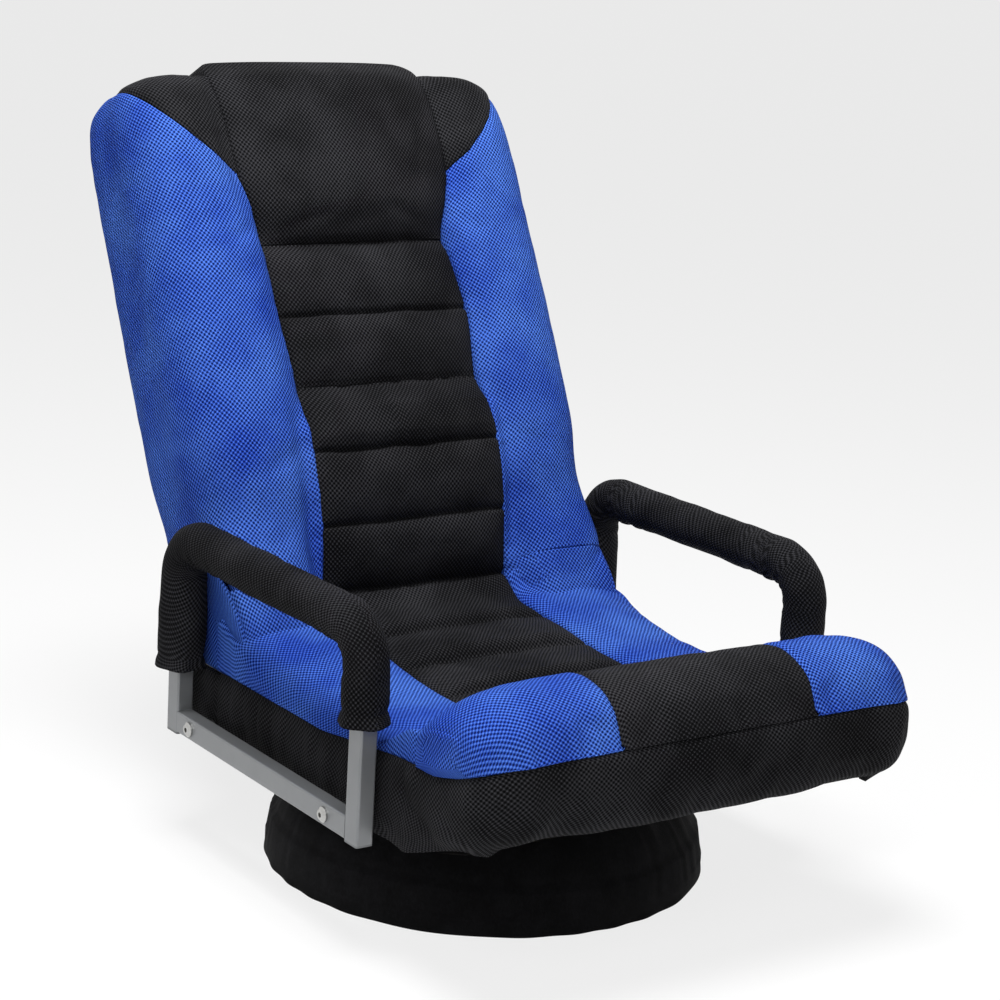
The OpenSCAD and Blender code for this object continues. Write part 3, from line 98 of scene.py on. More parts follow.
CREST_DEPTH = [(0.061, 0.95), (0.106, 0.953), (0.172, 0.968), (0.243, 1.037), (0.319, 1.073), (0.435, 1.064),
               (0.58, 1.028), (0.725, 0.97), (0.812, 0.94), (0.884, 0.87), (0.935, 0.76), (0.96, 0.62),
               (0.977, 0.4)]
BACK_WIDTH = [(0, 1), (0.2, 1), (0.32, 1.027), (0.58, 1.03), (0.8, 1.025), (0.88, 1.017), (0.91, 1.007),
              (0.939, 0.985), (0.955, 0.953), (0.967, 0.908), (0.974, 0.86), (0.977, 0.81)]
STRIP_WIDTH = [(0, 0.481), (0.33, 0.492), (0.4, 0.477), (0.52, 0.5), (0.65, 0.488), (0.73, 0.527),
               (0.77, 0.554), (1, 0.57)]
REAR_DEPTH = [(0.87, 1), (0.93, 0.94), (0.96, 0.75), (0.977, 0.45)]
BACK_SECTION = [(0.1, 0.93), (0.24, 0.985), (0.42, 1), (0.62, 0.985), (0.8, 0.92), (0.93, 0.8), (0.995, 0.62),
                (1, 0.36), (0.995, 0.16), (0.94, 0.03)]
LUMBAR_FOLDS, UPPER_FOLDS = [-0.065, 0.051, 0.159, 0.281, 0.397], [0.398, 0.522, 0.654]
HEAD_PROUD = [(0.655, 0), (0.668, 0.6), (0.69, 0.9), (0.73, 1), (0.88, 1), (0.95, 0.9), (1, 0.4)]
HEAD_REAR = [(0.925, 1), (0.965, 0.9), (0.985, 0.6), (1, 0.1)]
# Rise of a seat channel from its front seam to its rear one
CHANNEL_RISE = [(0, 0), (0.07, 0.7), (0.17, 1), (0.36, 0.93), (0.72, 0.6), (0.93, 0.3), (1, 0)]
# The foot of the back: round at its inner edge, and square where it meets the cheek
FOOT_SECTION = {0.1: 0.84, 0.24: 0.95, 0.42: 1.0, 0.62: 1.0, 0.8: 0.985, 0.93: 0.94, 0.995: 0.84}
FOOT_FRONT = [(0, 74), (0.1, 79), (0.24, 96.5), (0.42, 104), (1, 104)]
FACE_FRONT = FOOT_FRONT[:-1] + [(0.62, 104), (0.8, 101.5), (0.93, 94), (0.995, 78), (1.08, 20)]
# Where the foot of the back steps from its round hinge end to its straight part, as shares of its height
FOOT_STEP, SEAM_STEP = (0.0715, 0.075), (0.04, 0.062)
# Pinched folds in the cloth: two ends, a width and a depth
BOLSTER_CREASES = [
    ((262, -200, 235), (205, -258, 262), 10, 4.5), ((250, -150, 240), (190, -235, 262), 12, 3.5),
    ((240, -90, 250), (165, -190, 258), 14, 2.5), ((262, -60, 232), (246, 10, 240), 12, 2.5)]
ROLL_CREASES = [
    ((-90, -404, 285), (-60, -380, 318), 11, 2.6), ((20, -405, 280), (50, -385, 312), 12, 2.4),
    ((96, -404, 284), (84, -374, 320), 10, 2.4), ((-120, -300, 318), (-60, -280, 300), 12, 2.2),
    ((40, -275, 296), (118, -296, 316), 12, 2.2)]
ROLL_END_CREASES = [
    ((150, -300, 322), (205, -268, 290), 12, 4.2), ((190, -335, 326), (240, -285, 296), 13, 2.0),
    ((200, -392, 300), (252, -360, 288), 12, 2.4), ((140, -402, 288), (172, -388, 306), 10, 2.6)]
BAND_CREASES = [((x0, ROLL_SEAM_Y - 4, z0), (x1, ROLL_SEAM_Y - 4, z1), width, depth)
                for x0, x1, z0, z1, width, depth in [
                    (-60, -110, 190, 240, 12, 4), (20, 90, 205, 232, 14, 3.5), (-170, -215, 180, 250, 11, 4),
                    (120, 205, 215, 190, 13, 3.5), (-10, -30, 165, 220, 10, 3.5), (215, 190, 240, 262, 9, 3)]]
for sign, _ in SIDES:
    BAND_CREASES += [((sign * 276, -300, 168), (sign * 268, -235, 205), 12, 4),
                     ((sign * 274, -345, 185), (sign * 277, -300, 225), 10, 3.5)]
HEAD_CREASES = [((x0, s0, 0), (x1, s1, 0), width, depth) for x0, s0, x1, s1, width, depth in [
    (-92, 470, -30, 486, 8, 2.6), (-40, 468, 34, 480, 9, 2.2), (96, 470, 44, 492, 8, 2.8),
    (-112, 560, -84, 500, 9, 2.4), (118, 600, 92, 520, 9, 2.4), (-60, 640, 20, 652, 12, 2.2)]]
BACK_CREASES = [((144, 112, 120), (206, 116, 92), 13, 2.2), ((150, 112, 196), (196, 118, 176), 12, 2.4),
                ((244, 60, 90), (252, 30, 150), 13, 3), ((246, 62, 300), (254, 20, 350), 14, 2.6),
                ((140, 100, 470), (176, 104, 452), 10, 2.6), ((146, 98, 425), (190, 106, 400), 12, 2.4)]


# Numbers along the cloth
def mix(a, b, f):
    return a + (b - a) * f


def clamp(v, low=0.0, high=1.0):
    return np.minimum(high, np.maximum(low, v))


def smooth(f):
    return f * f * (3 - 2 * f)


def ease(v, low, high):
    """0 below low, 1 above high, and smooth between them."""
    return smooth(clamp((np.asarray(v, float) - low) / (high - low)))


def bell(gap, width):
    """1 where the gap is nothing, dying away smoothly over the width."""
    return np.exp(-(gap / width) ** 2)


def arc(v, radius):
    """How high a circle of this radius stands at a distance v from its middle, and 0 beyond it."""
    return np.sqrt(np.maximum(0, radius ** 2 - v * v))


def cubic(t, length, a, b, slope_a, slope_b):
    """A smooth line from a to b with these slopes at its ends, read at a share t of its length."""
    return ((1 + 2 * t) * (1 - t) ** 2 * a + t * (1 - t) ** 2 * length * slope_a
            + t * t * (3 - 2 * t) * b + t * t * (t - 1) * length * slope_b)


def along(v, stops):
    """A smooth line through the stops that never swings past them, read at v."""
    xs, ys = (np.array(c, float) for c in zip(*stops))
    h = np.diff(xs)
    d = np.diff(ys) / h
    m = np.concatenate([[d[0]], np.zeros(len(xs) - 2), [d[-1]]])
    for i in range(1, len(xs) - 1):
        if d[i - 1] * d[i] > 0:
            w1, w2 = 2 * h[i] + h[i - 1], h[i] + 2 * h[i - 1]
            m[i] = (w1 + w2) / (w1 / d[i - 1] + w2 / d[i])
    v = np.clip(np.asarray(v, float), xs[0], xs[-1])
    i = np.clip(np.searchsorted(xs, v, side="right") - 1, 0, len(xs) - 2)
    return cubic((v - xs[i]) / h[i], h[i], ys[i], ys[i + 1], m[i], m[i + 1])


def puff(f, power=2.0):
    """The rise of stuffed cloth between two seams, at a share f of the way across."""
    return 1 - np.abs(2 * np.asarray(f, float) - 1) ** power


def fade(f, power=2.0, keep=0.0):
    """1 in the middle of a width and dying away at both its edges, where a little is kept."""
    return np.sqrt(clamp(puff(f * (1 - 2 * keep) + keep, power)))


def xyz(x, y, z):
    """Points from their three measures, where one number may stand for all of them."""
    return np.stack(np.broadcast_arrays(x, y, z), -1).astype(float)


def runs(*stretches):
    """A row of values over stretches, each a start, an end and a count; each leaves its end to the next."""
    rows = [np.linspace(*stretch, endpoint=False) for stretch in stretches[:-1]]
    return np.concatenate([*rows, np.linspace(*stretches[-1])])


def lattice(rows, columns):
    return np.meshgrid(rows, columns, indexing="ij")


def full_turn(count):
    """Angles all the way round."""
    return np.radians(np.linspace(0, 360, count, endpoint=False))


def shares(grid):
    """The share of the way across a grid at each of its columns."""
    return np.arange(grid.shape[1])[None, :] / (grid.shape[1] - 1)


def lengths(points, axis=0):
    """The length so far along each line of points."""
    steps = np.linalg.norm(np.diff(points, axis=axis), axis=-1)
    return np.concatenate([np.zeros_like(np.take(steps, [0], axis)), np.cumsum(steps, axis)], axis)


def bend(points, per, sharp=()):
    """Rows of a few control points, (..., count, 3), made smooth; the sharp ones stay corners."""
    p = np.asarray(points, float)
    last = p.shape[-2] - 1
    out = []
    for i in range(last):
        a, b = p[..., i, :], p[..., i + 1, :]
        before = a if i in sharp or i == 0 else p[..., i - 1, :]
        after = b if i + 1 in sharp or i + 1 == last else p[..., i + 2, :]
        size = np.linalg.norm(b - a, axis=-1, keepdims=True)
        slopes = []
        for slope in ((b - before) / 2, (after - a) / 2):
            steepness = np.maximum(np.linalg.norm(slope, axis=-1, keepdims=True), 1e-6)
            slopes.append(slope * np.minimum(1, size * 1.5 / steepness))
        out += [cubic(k / per, 1, a, b, *slopes) for k in range(per)]
    return np.stack(out + [p[..., -1, :]], -2)


def ripple(points, size, seed=0):
    """A smooth uneven value from -1 to 1 at each point, with features about as big as size."""
    q = np.asarray(points, float) / np.asarray(size, float) + seed * 17.37
    base = np.floor(q)
    f = smooth(q - base)
    total = 0
    for corner in itertools.product((0, 1), repeat=3):
        c = base + corner
        h = np.sin(c[..., 0] * 127.1 + c[..., 1] * 311.7 + c[..., 2] * 74.7) * 43758.5453
        total = total + (h - np.floor(h)) * np.prod(np.where(corner, f, 1 - f), -1)
    return 2 * total - 1


def uneven(form, points, *layers):
    """Wrinkles in millimetres. Each layer is a depth, the size of its features and its seed."""
    return form.wrinkle / MM * sum(depth * ripple(points, size, seed) for depth, size, seed in layers)


def facing(grid, closed=False):
    """Directions square to a grid of points, pointing away from the middle of each ring."""
    across = np.roll(grid, -1, 1) - np.roll(grid, 1, 1) if closed else np.gradient(grid, axis=1)
    n = np.cross(np.gradient(grid, axis=0), across)
    n /= np.maximum(np.linalg.norm(n, axis=-1, keepdims=True), 1e-9)
    out = grid - grid.mean(axis=1, keepdims=True)
    return n * (1 if (n * out).sum() > 0 else -1)


def creases(points, folds):
    """How far pinched folds draw the cloth in at each point."""
    total = 0
    for a, b, width, depth in folds:
        a, b = np.array(a, float), np.array(b, float)
        t = clamp(((points - a) @ (b - a)) / ((b - a) @ (b - a)))
        gap = np.linalg.norm(points - (a + t[..., None] * (b - a)), axis=-1)
        total = total + depth * bell(gap, width) * fade(t, keep=0.02)
    return total


def stitches(f, count, width):
    """1 along each seam of a row of channels and 0 away from it; f runs from 0 to count."""
    return bell(f - np.round(f), width) * (f > 0.02) * (f < count - 0.02)


def on_back(points):
    """Points given as x across, depth t forward and height s on the back, moved to where they are at rest."""
    x, t, s = (points[..., k] for k in range(3))
    return xyz(x, HINGE_Y + s * LEAN_SIN - t * LEAN_COS, HINGE_Z + s * LEAN_COS + t * LEAN_SIN)


def on_side(points, side):
    """The same points on the left or the right: side is -1 or 1."""
    return points * np.array([side, 1, 1])


def press(points, radius):
    """Presses cloth out of the round room about the hinge, and lets go of it at the cheek."""
    gap = points - (0, HINGE_Y, HINGE_Z)
    r = np.maximum(np.hypot(gap[..., 1], gap[..., 2]), 1e-6)
    hold = 1 - ease(np.abs(points[..., 0]), CHEEK_IN - 4, CHEEK_IN + 6)
    push = np.where(r < radius, (radius / r - 1) * hold, 0)
    return points + gap * push[..., None] * (0, 1, 1)


# Meshes
@contextmanager
def edited(mesh):
    """The mesh's corners, edges and faces to work on, written back at the end."""
    work = bmesh.new()
    work.from_mesh(mesh)
    yield work
    work.to_mesh(mesh)
    work.free()


def make(name, verts, faces, weave, cloth, body):
    """A mesh object of points in millimetres, with its weave's lengths and finish, riding on a body."""
    mesh = bpy.data.meshes.new(name)
    mesh.from_pydata((np.asarray(verts, float) * MM).tolist(), [], faces)
    mesh.uv_layers.new(name=WEAVE).data.foreach_set("uv", np.asarray(weave, np.float32).ravel())
    mesh.polygons.foreach_set("use_smooth", [True] * len(mesh.polygons))
    mesh.materials.append(finish(cloth))
    with edited(mesh) as work:
        bmesh.ops.recalc_face_normals(work, faces=work.faces)
    piece = bpy.data.objects.new(name, mesh)
    bpy.context.scene.collection.objects.link(piece)
    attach(piece, body)
    return piece


def skin(name, rings, cloth, body, looped=False, start=0, ends=True):
    """A skin over rings of points, with the weave measured round each ring from its start point."""
    rings = np.asarray(rings, float)
    m, n, _ = rings.shape
    wide = np.concatenate([rings, rings[:, :1]], 1)
    full = np.concatenate([wide, wide[:1]], 0) if looped else wide
    u, v = lengths(full, 1), lengths(full)
    u -= u[:, start:start + 1]
    v += (v[:, start:start + 1] - v) * 0.5
    verts, faces, weave = list(rings.reshape(-1, 3)), [], []
    for i, j in itertools.product(range(len(full) - 1), range(wide.shape[1] - 1)):
        quad = [(i, j), (i, j + 1), (i + 1, j + 1), (i + 1, j)]
        faces.append([(a % m) * n + b % n for a, b in quad])
        weave += [(u[a, b] * MM, v[a, b] * MM) for a, b in quad]
    for i in (0, m - 1) if ends and not looped else ():
        centre = rings[i].mean(0)
        verts.append(centre)
        for j in range(n):
            faces.append([i * n + j, i * n + (j + 1) % n, len(verts) - 1])
            weave += [((p[0] + p[1]) * MM, p[2] * MM) for p in (rings[i, j], rings[i, (j + 1) % n], centre)]
    return make(name, verts, faces, weave, cloth, body)


def block(name, top, under, cloth, body):
    """A closed pad between a top grid and an under grid of the same size."""
    thirds = np.array([0.34, 0.67])[None, :, None]
    rings = np.concatenate([top, mix(top[:, -1:], under[:, -1:], thirds), under[:, ::-1],
                            mix(under[:, :1], top[:, :1], thirds)], 1)
    return skin(name, rings, cloth, body, start=top.shape[1] // 2)


def soft(piece, node):
    """Hides the solid that a padded piece takes the place of."""
    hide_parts(node)


def cut_at(piece, at, out, keep_above):
    """Keeps the part of a piece on one side of a plane and closes the cut."""
    sign = 1 if keep_above else -1
    with edited(piece.data) as work:
        cut = bmesh.ops.bisect_plane(work, geom=work.verts[:] + work.edges[:] + work.faces[:], dist=1e-6,
                                     plane_co=Vector(at) * MM, plane_no=Vector(out) * -sign, clear_outer=True)
        rim = [e for e in cut["geom_cut"] if isinstance(e, bmesh.types.BMEdge)]
        bmesh.ops.holes_fill(work, edges=rim, sides=0)
        bmesh.ops.triangulate(work, faces=[f for f in work.faces if len(f.verts) > 4])


# Finishes
def paint(red, green, blue):
    """A colour as seen on a screen, from 0 to 255, in the scene's own values."""
    def linear(c):
        c /= 255
        return c / 12.92 if c <= 0.04045 else ((c + 0.055) / 1.055) ** 2.4
    return (linear(red), linear(green), linear(blue), 1.0)


class Thread:
    """One value in a finish. Threads add, subtract and multiply as numbers do."""

    def __init__(self, finish, socket):
        self.finish, self.socket = finish, socket

    def __add__(self, other):
        return self.finish.math("ADD", self, other)

    def __sub__(self, other):
        return self.finish.math("SUBTRACT", self, other)

    def __rsub__(self, other):
        return self.finish.math("SUBTRACT", other, self)

    def __mul__(self, other):
        return self.finish.math("MULTIPLY", self, other)


class Finish:
    """The shader nodes of one material or world."""

    def __init__(self, holder):
        self.holder = holder
        holder.use_nodes = True
        self.tree = holder.node_tree
        self.tree.nodes.clear()

    def node(self, kind, settings=None, links=None, out=0):
        """Adds a node of a type, with its settings set first and then its sockets."""
        made = self.tree.nodes.new(kind)
        for key, value in (settings or {}).items():
            setattr(made, key, value)
        for key, value in (links or {}).items():
            socket = made.inputs[key]
            if isinstance(value, Thread):
                self.tree.links.new(value.socket, socket)
            else:
                socket.default_value = value
        return Thread(self, made.outputs[out]) if made.outputs else None

    def math(self, operation, a, b=0.0):
        return self.node("ShaderNodeMath", {"operation": operation}, {0: a, 1: b})

    def stretched(self, where, scale):
        return self.node("ShaderNodeVectorMath", {"operation": "MULTIPLY"}, {0: where, 1: scale})

    def split(self, value):
        """The three parts of a place or a length."""
        return [self.node("ShaderNodeSeparateXYZ", links={0: value}, out=k) for k in range(3)]

    def blend(self, share, a, b):
        """Colour a where share is 0 and colour b where it is 1."""
        return self.node("ShaderNodeMix", {"data_type": "RGBA", "clamp_factor": True},
                         {"Factor": share, 6: a, 7: b}, out=2)

    def between(self, value, low, high):
        """0 below low, 1 above high and smooth between."""
        return self.node("ShaderNodeMapRange", {"interpolation_type": "SMOOTHSTEP"},
                         {"Value": value, "From Min": low, "From Max": high})

    def place(self):
        return self.node("ShaderNodeTexCoord", out="Object")

    def weave(self):
        """The lengths across and along the cloth, in metres."""
        return self.split(self.node("ShaderNodeUVMap", {"uv_map": WEAVE}))[:2]

    def cloud(self, where, size, detail=2.0, rough=0.5):
        """Uneven value about 0.5, with patches of the given size in metres."""
        return self.node("ShaderNodeTexNoise", links={"Vector": where, "Scale": 1 / size, "Detail": detail,
                                                      "Roughness": rough})

    def wave(self, value, pitch):
        """A cosine with the given pitch."""
        return self.math("COSINE", value * (2 * math.pi / pitch))

    def relief(self, height, depth, strength):
        return self.node("ShaderNodeBump", links={"Height": height, "Distance": depth, "Strength": strength})

    def seen(self):
        """1 on rays from the camera and through or off a shiny surface."""
        camera, glossy, through = (self.node("ShaderNodeLightPath", out=f"Is {kind} Ray")
                                   for kind in ("Camera", "Glossy", "Transmission"))
        return self.math("MAXIMUM", camera, self.math("MAXIMUM", glossy, through))

    def surface(self, links):
        shader = self.node("ShaderNodeBsdfPrincipled", links=links)
        self.node("ShaderNodeOutputMaterial", links={"Surface": shader})
        return self.holder


def material(name):
    return Finish(bpy.data.materials.new(name))


def spacer_mesh(name, yarn, hole, glow, pitch_across, pitch_along):
    """Knitted air mesh: staggered oval holes over a darker ground, painted darker still for the shade inside
    them, with fine yarns between them and a painted glint at each knot.
    """
    f = material(name)
    across, lengthwise = f.weave()
    where = f.place()
    stray = f.cloud(where, 0.02) - 0.5
    across = across + stray * (pitch_across * 0.28)
    lengthwise = lengthwise + stray * (pitch_along * -0.22)
    field = f.wave(across, pitch_across) * f.wave(lengthwise, pitch_along)
    open_share = f.between(field + stray * 0.3, 0.08, 0.46)
    # Marks each knot between the holes: raised in the relief, and painted lighter below as a glint on the
    # yarn (painted highlight)
    glinting_knots = f.between(0.0 - field + stray * 0.4, 0.25, 0.95)
    ribs = (f.wave(across + lengthwise * 0.6, pitch_across / 4.4)
            * f.wave(lengthwise - across * 0.4, pitch_along / 3.6))
    fuzz = f.cloud(where, 0.0012, 3.0, 0.7)
    patch = f.cloud(where, 0.09)
    # The yarn is painted towards the pale colour in large random patches of tone, and at each knot as a
    # painted glint
    body = f.blend(f.between(patch + fuzz * 0.25, 0.38, 0.9) * 0.35 + glinting_knots * 0.5, yarn, glow)
    # The holes are painted towards the hole colour: a darker ground, with painted shade inside the holes
    colour = f.blend(open_share * 0.93, body, hole)
    colour = f.blend(f.between(ribs, -0.2, 0.9) * 0.4 * (1.0 - open_share), colour, hole)
    height = ribs * 0.2 + fuzz * 0.3 + glinting_knots * 0.3 - open_share
    return f.surface({
        "Base Color": colour,
        "Roughness": open_share * 0.22 + 0.66 - fuzz * 0.06,
        "Normal": f.relief(height, 0.0011, 0.7),
        "Specular IOR Level": 0.03,
        "Sheen Weight": 0.03,
        "Sheen Roughness": 0.4,
        "Sheen Tint": glow,
    })


def pressed_cloth(name, colour, light, dot_pitch):
    """Thin non-woven cloth: matted fibres with a fine pressed grid of dots."""
    f = material(name)
    where = f.place()
    across, lengthwise = f.weave()
    dots = f.between(f.wave(across, dot_pitch) * f.wave(lengthwise, dot_pitch), 0.35, 0.85)
    fibres = f.cloud(f.stretched(where, (1.0, 0.45, 0.45)), 0.0022, 5.0, 0.72)
    clumps = f.cloud(where, 0.03, 3.0)
    tone = f.blend(f.between(fibres * 0.6 + clumps * 0.6, 0.42, 0.85), colour, light)
    return f.surface({
        "Base Color": f.blend(dots * 0.35, tone, colour),
        "Roughness": 0.9 - fibres * 0.12,
        "Normal": f.relief(fibres * 0.7 + clumps * 0.5 - dots * 0.5, 0.0006, 0.5),
        "Specular IOR Level": 0.05,
        "Sheen Weight": 0.03,
        "Sheen Roughness": 0.5,
    })


def metal(name, colour, worn, rough, metallic, grain, coat=0.0):
    """Painted, brushed or plated steel with a little unevenness, handling marks and fine grain."""
    f = material(name)
    where = f.place()
    smear = f.cloud(where, 0.035, 4.0, 0.6)
    speck = f.cloud(where, grain, 3.0, 0.6)
    marks = f.between(f.cloud(f.stretched(where, (1.0, 1.0, 0.22)), 0.004, 5.0, 0.75), 0.62, 0.8)
    tone = f.blend(f.between(smear, 0.3, 0.75) * 0.6 + marks * 0.25, colour, worn)
    return f.surface({
        "Base Color": tone,
        "Metallic": metallic,
        "Roughness": smear * 0.1 + rough + marks * 0.12 - 0.05,
        "Normal": f.relief(speck * 0.6 + smear * 0.4, grain * 0.12, 0.25),
        "Coat Weight": coat,
        "Coat Roughness": 0.3,
    })


def moulded(name, colour, light, rough):
    """Moulded plastic or rubber with a fine satin grain."""
    f = material(name)
    where = f.place()
    grain = f.cloud(where, 0.0009, 2.0, 0.6)
    patch = f.cloud(where, 0.02, 3.0)
    return f.surface({
        "Base Color": f.blend(f.between(patch + grain * 0.2, 0.4, 0.8), colour, light),
        "Roughness": grain * 0.12 + rough,
        "Normal": f.relief(grain, 0.0002, 0.4),
    })


def webbing(name, colour, light):
    """Woven strap: ribs across and a herringbone twill, from the solid's own lines."""
    f = material(name)
    where = f.place()
    x, y, z = f.split(where)
    twill = f.between(f.wave(x + y + z, 0.0022) + f.wave(x - y - z, 0.0031) * 0.6, -0.6, 1.1)
    fuzz = f.cloud(where, 0.0015, 3.0)
    return f.surface({
        "Base Color": f.blend(twill * 0.6 + fuzz * 0.3, colour, light),
        "Roughness": fuzz * 0.12 + 0.78,
        "Normal": f.relief(twill + fuzz * 0.3, 0.0005, 0.6),
        "Sheen Weight": 0.1,
    })


def open_foam(name, colour, shade):
    """Cut polyurethane foam with small open cells."""
    f = material(name)
    where = f.place()
    cells = f.node("ShaderNodeTexVoronoi", {"feature": "F1"}, {"Vector": where, "Scale": 700.0},
                   out="Distance")
    patch = f.cloud(where, 0.05, 3.0)
    return f.surface({
        "Base Color": f.blend(f.between(patch + cells * 0.3, 0.35, 0.85), colour, shade),
        "Roughness": 0.92 - cells * 0.1,
        "Normal": f.relief(cells, 0.0006, 0.5),
    })


FINISHES = {}


def finish(name):
    """A finish of the chair by its plain name, made the first time that it is asked for."""
    if name not in FINISHES:
        look = bpy.context.scene.chair_finish
        pitches = look.hole_pitch, look.hole_pitch * 1.12
        FINISHES[name] = {
            # The pale yarn colours of both meshes are partly random lighter tone and partly painted glints at
            # each knot
            "blue": lambda: spacer_mesh("Blue air mesh", look.blue_yarn, look.blue_hole, look.blue_glint_and_tone,
                                        *pitches),
            # The black mesh's holes are painted near black: a darker ground, with painted shade inside them
            "black": lambda: spacer_mesh("Black air mesh", look.black_yarn, paint(5, 5, 6), look.black_glint_and_tone,
                                         *pitches),
            "cover": lambda: pressed_cloth("Black non-woven cover", look.cover_cloth, paint(27, 27, 29),
                                           dot_pitch=0.0021),
            "silver": lambda: metal("Silver paint", look.silver, paint(128, 130, 132), rough=0.36,
                                    metallic=0.35, grain=0.0012, coat=0.25),
            "steel": lambda: metal("Bare steel", paint(122, 124, 126), paint(98, 97, 95), rough=0.34,
                                   metallic=1.0, grain=0.0008),
            "nickel": lambda: metal("Nickel plate", paint(186, 186, 184), paint(150, 149, 146), rough=0.2,
                                    metallic=1.0, grain=0.0006),
            "cap": lambda: moulded("Grey plastic", paint(96, 98, 100), paint(110, 112, 114), rough=0.42),
            "rubber": lambda: moulded("Black rubber", paint(20, 20, 21), paint(32, 32, 33), rough=0.7),
            "nylon": lambda: moulded("White nylon", paint(206, 204, 196), paint(222, 220, 212), rough=0.4),
            "strap": lambda: webbing("Black webbing", paint(16, 16, 17), paint(40, 40, 43)),
            "foam": lambda: open_foam("Cream foam", paint(224, 212, 176), paint(206, 190, 148)),
        }[name]()
    return FINISHES[name]


# Seat
def seat_line(y):
    return FOAM_TOP + FOAM_CROWN * (1 + along(y / SEAT_FRONT, SEAT_LINE))


def side_seam(y):
    return SEAM_LOW_Z + ROLL_AXIS_H * along(y / SEAT_FRONT, SIDE_SEAM)


def round_end(share):
    """How a round end falls away: 1 at its start and 0 at its tip."""
    return np.sqrt(1 - clamp(share) ** 2)


def roll_seam_at(x):
    return ROLL_SEAM_Y + CORNER_R * (1 - round_end((x - ROLL_CORNER_X) / CORNER_R))


def roll_height(x):
    return mix(ROLL_END_RISE, 1, round_end((x - ROLL_FALL_X) / (ROLL_X - ROLL_FALL_X)))


def side_x(y):
    """Outer side of the seat, which widens towards the roll."""
    return mix(SEAT_X, ROLL_X, clamp((-y / SEAT_FRONT - 0.55) / 0.2))


def seam_height(x, y):
    return np.minimum(side_seam(y), ROLL_Z + ROLL_R * roll_height(x) * math.sin(math.radians(SEAM_ANGLE)))


def seat_pad_grids(form):
    count, steps = form.seat_channels, CHANNEL_STEPS[0]
    ff, aa = lattice(np.linspace(0, count, count * steps + 1), np.linspace(-1, 1, 91))
    width = STRIP_X - GAP
    y = mix(PAD_FRONT, PAD_REAR, ff / count)
    top = xyz(aa * width, y, seat_line(y))
    edge = 1 - np.abs(aa) ** 5
    near = bell(np.minimum(ff % 1.0, 1 - ff % 1.0), 0.17)
    rise = SEAT_CHANNEL_H * along(ff % 1.0, CHANNEL_RISE) * edge - SEAT_STITCH * stitches(ff, count, 0.028)
    rise += edge * (near * uneven(form, top, (1.25, (9, 60, 60), 3))
                    + uneven(form, top, (1.1, (38, 24, 24), 5), (0.5, (14, 12, 14), 8)))
    rise -= 1.6 * bell((1 - np.abs(aa)) * width, 3.5)
    top[..., 1] += 0.9 * np.sin(aa * 9.0 + ff) * near * edge
    top[..., 2] += rise
    under = top.copy()
    hinge_r = LUMBAR_END_R + GAP
    gap = under[..., 1] - HINGE_Y
    over_hinge = np.where(gap > -hinge_r, HINGE_Z + arc(gap, hinge_r), FOAM_TOP)
    under[..., 2] = np.minimum(np.maximum(FOAM_TOP, over_hinge), top[..., 2] - 0.5)
    return top, under


def bolster_rings(side, form):
    y = runs((PAD_FRONT, 60, 60), (60, BOLSTER_REAR, 39), (BOLSTER_REAR, LIP_REAR, 9))
    low, seam = seat_line(y), side_seam(y) + GAP
    top = low + BOLSTER_RISE
    section = [xyz(STRIP_X, y, low)]
    turn_up, turn_out = ease(y, 20, 132), ease(-y, 150, 262)
    for share, height in BOLSTER_SECTION:
        full = mix(height, max(height, 1 - 1.1 * max(0, share - 0.62) ** 1.6), turn_up)
        full = mix(full, np.maximum(full, 0.94), turn_out * ease(share, 0.5, 0.8))
        lift = 24 * turn_out ** 2 * ease(share, 0.3, 0.75)
        section.append(xyz(mix(STRIP_X, side_x(y), share) + 2 * turn_out * share ** 2, y,
                           mix(low if share < 0.4 else seam, top, full) + lift))
    section.append(xyz(side_x(y) - BAND_T / 4, y, seam))
    face = bend(np.stack(section, 1), 10)
    away = facing(face)
    away *= np.where(away[..., 2:] < -0.5, -1, 1)
    run = shares(face)
    rise = uneven(form, face, (1.3, (60, 36, 40), 11 + side), (0.8, (22, 16, 20), 13 + side)) * fade(run, 6)
    rise -= SEAM_DIP * (bell(run * 190, SEAM_HALF) + bell(face[..., 1] - PAD_FRONT, 6))
    face += away * (rise - creases(face, BOLSTER_CREASES))[..., None]

    # The rear end runs up to the plane of the back's face, and its top turns up into it
    across = (face[..., 0] - STRIP_X) / (BACK_X - STRIP_X)
    foot, reach = along(across, FOOT_FRONT), along(across, FACE_FRONT)
    end = np.minimum(LIP_REAR, HINGE_Y + LIP_S * LEAN_SIN - reach * LEAN_COS)
    at_y, z = face[..., 1], face[..., 2]
    lip = (at_y - LIP_FROM_Y) / (LIP_REAR - LIP_FROM_Y)
    at_y = np.where(lip > 0, mix(LIP_FROM_Y, end, lip), at_y)
    back_face = HINGE_Z + (at_y - HINGE_Y) * LEAN_COS / LEAN_SIN + (reach - 0.6) / LEAN_SIN
    up = clamp(0.5 + (back_face - z) / LIP_BLEND)
    z = np.where(at_y > LIP_TURN_Y, mix(z, back_face, up) + LIP_PUFF * up * (1 - up), z)
    face = press(xyz(face[..., 0], at_y, z), foot + GAP + 0.5)
    face[..., 0] = clamp(face[..., 0], STRIP_X + 0.1, side_x(y)[:, None] + 1)
    inner_x = SEAT_X - BAND_T
    corners = [xyz(x, y, z) for x, z in ((inner_x, seam), (inner_x, FOAM_TOP), (STRIP_X, FOAM_TOP))]
    under = np.stack([face[:, -1], *corners, face[:, 0]], 1)
    whole = np.concatenate([face, bend(under, 4, sharp=(1, 2, 3))[:, 1:-1]], 1)
    foot = along((whole[..., 0] - STRIP_X) / (BACK_X - STRIP_X), FOOT_FRONT)
    return on_side(press(whole, foot + GAP), side)


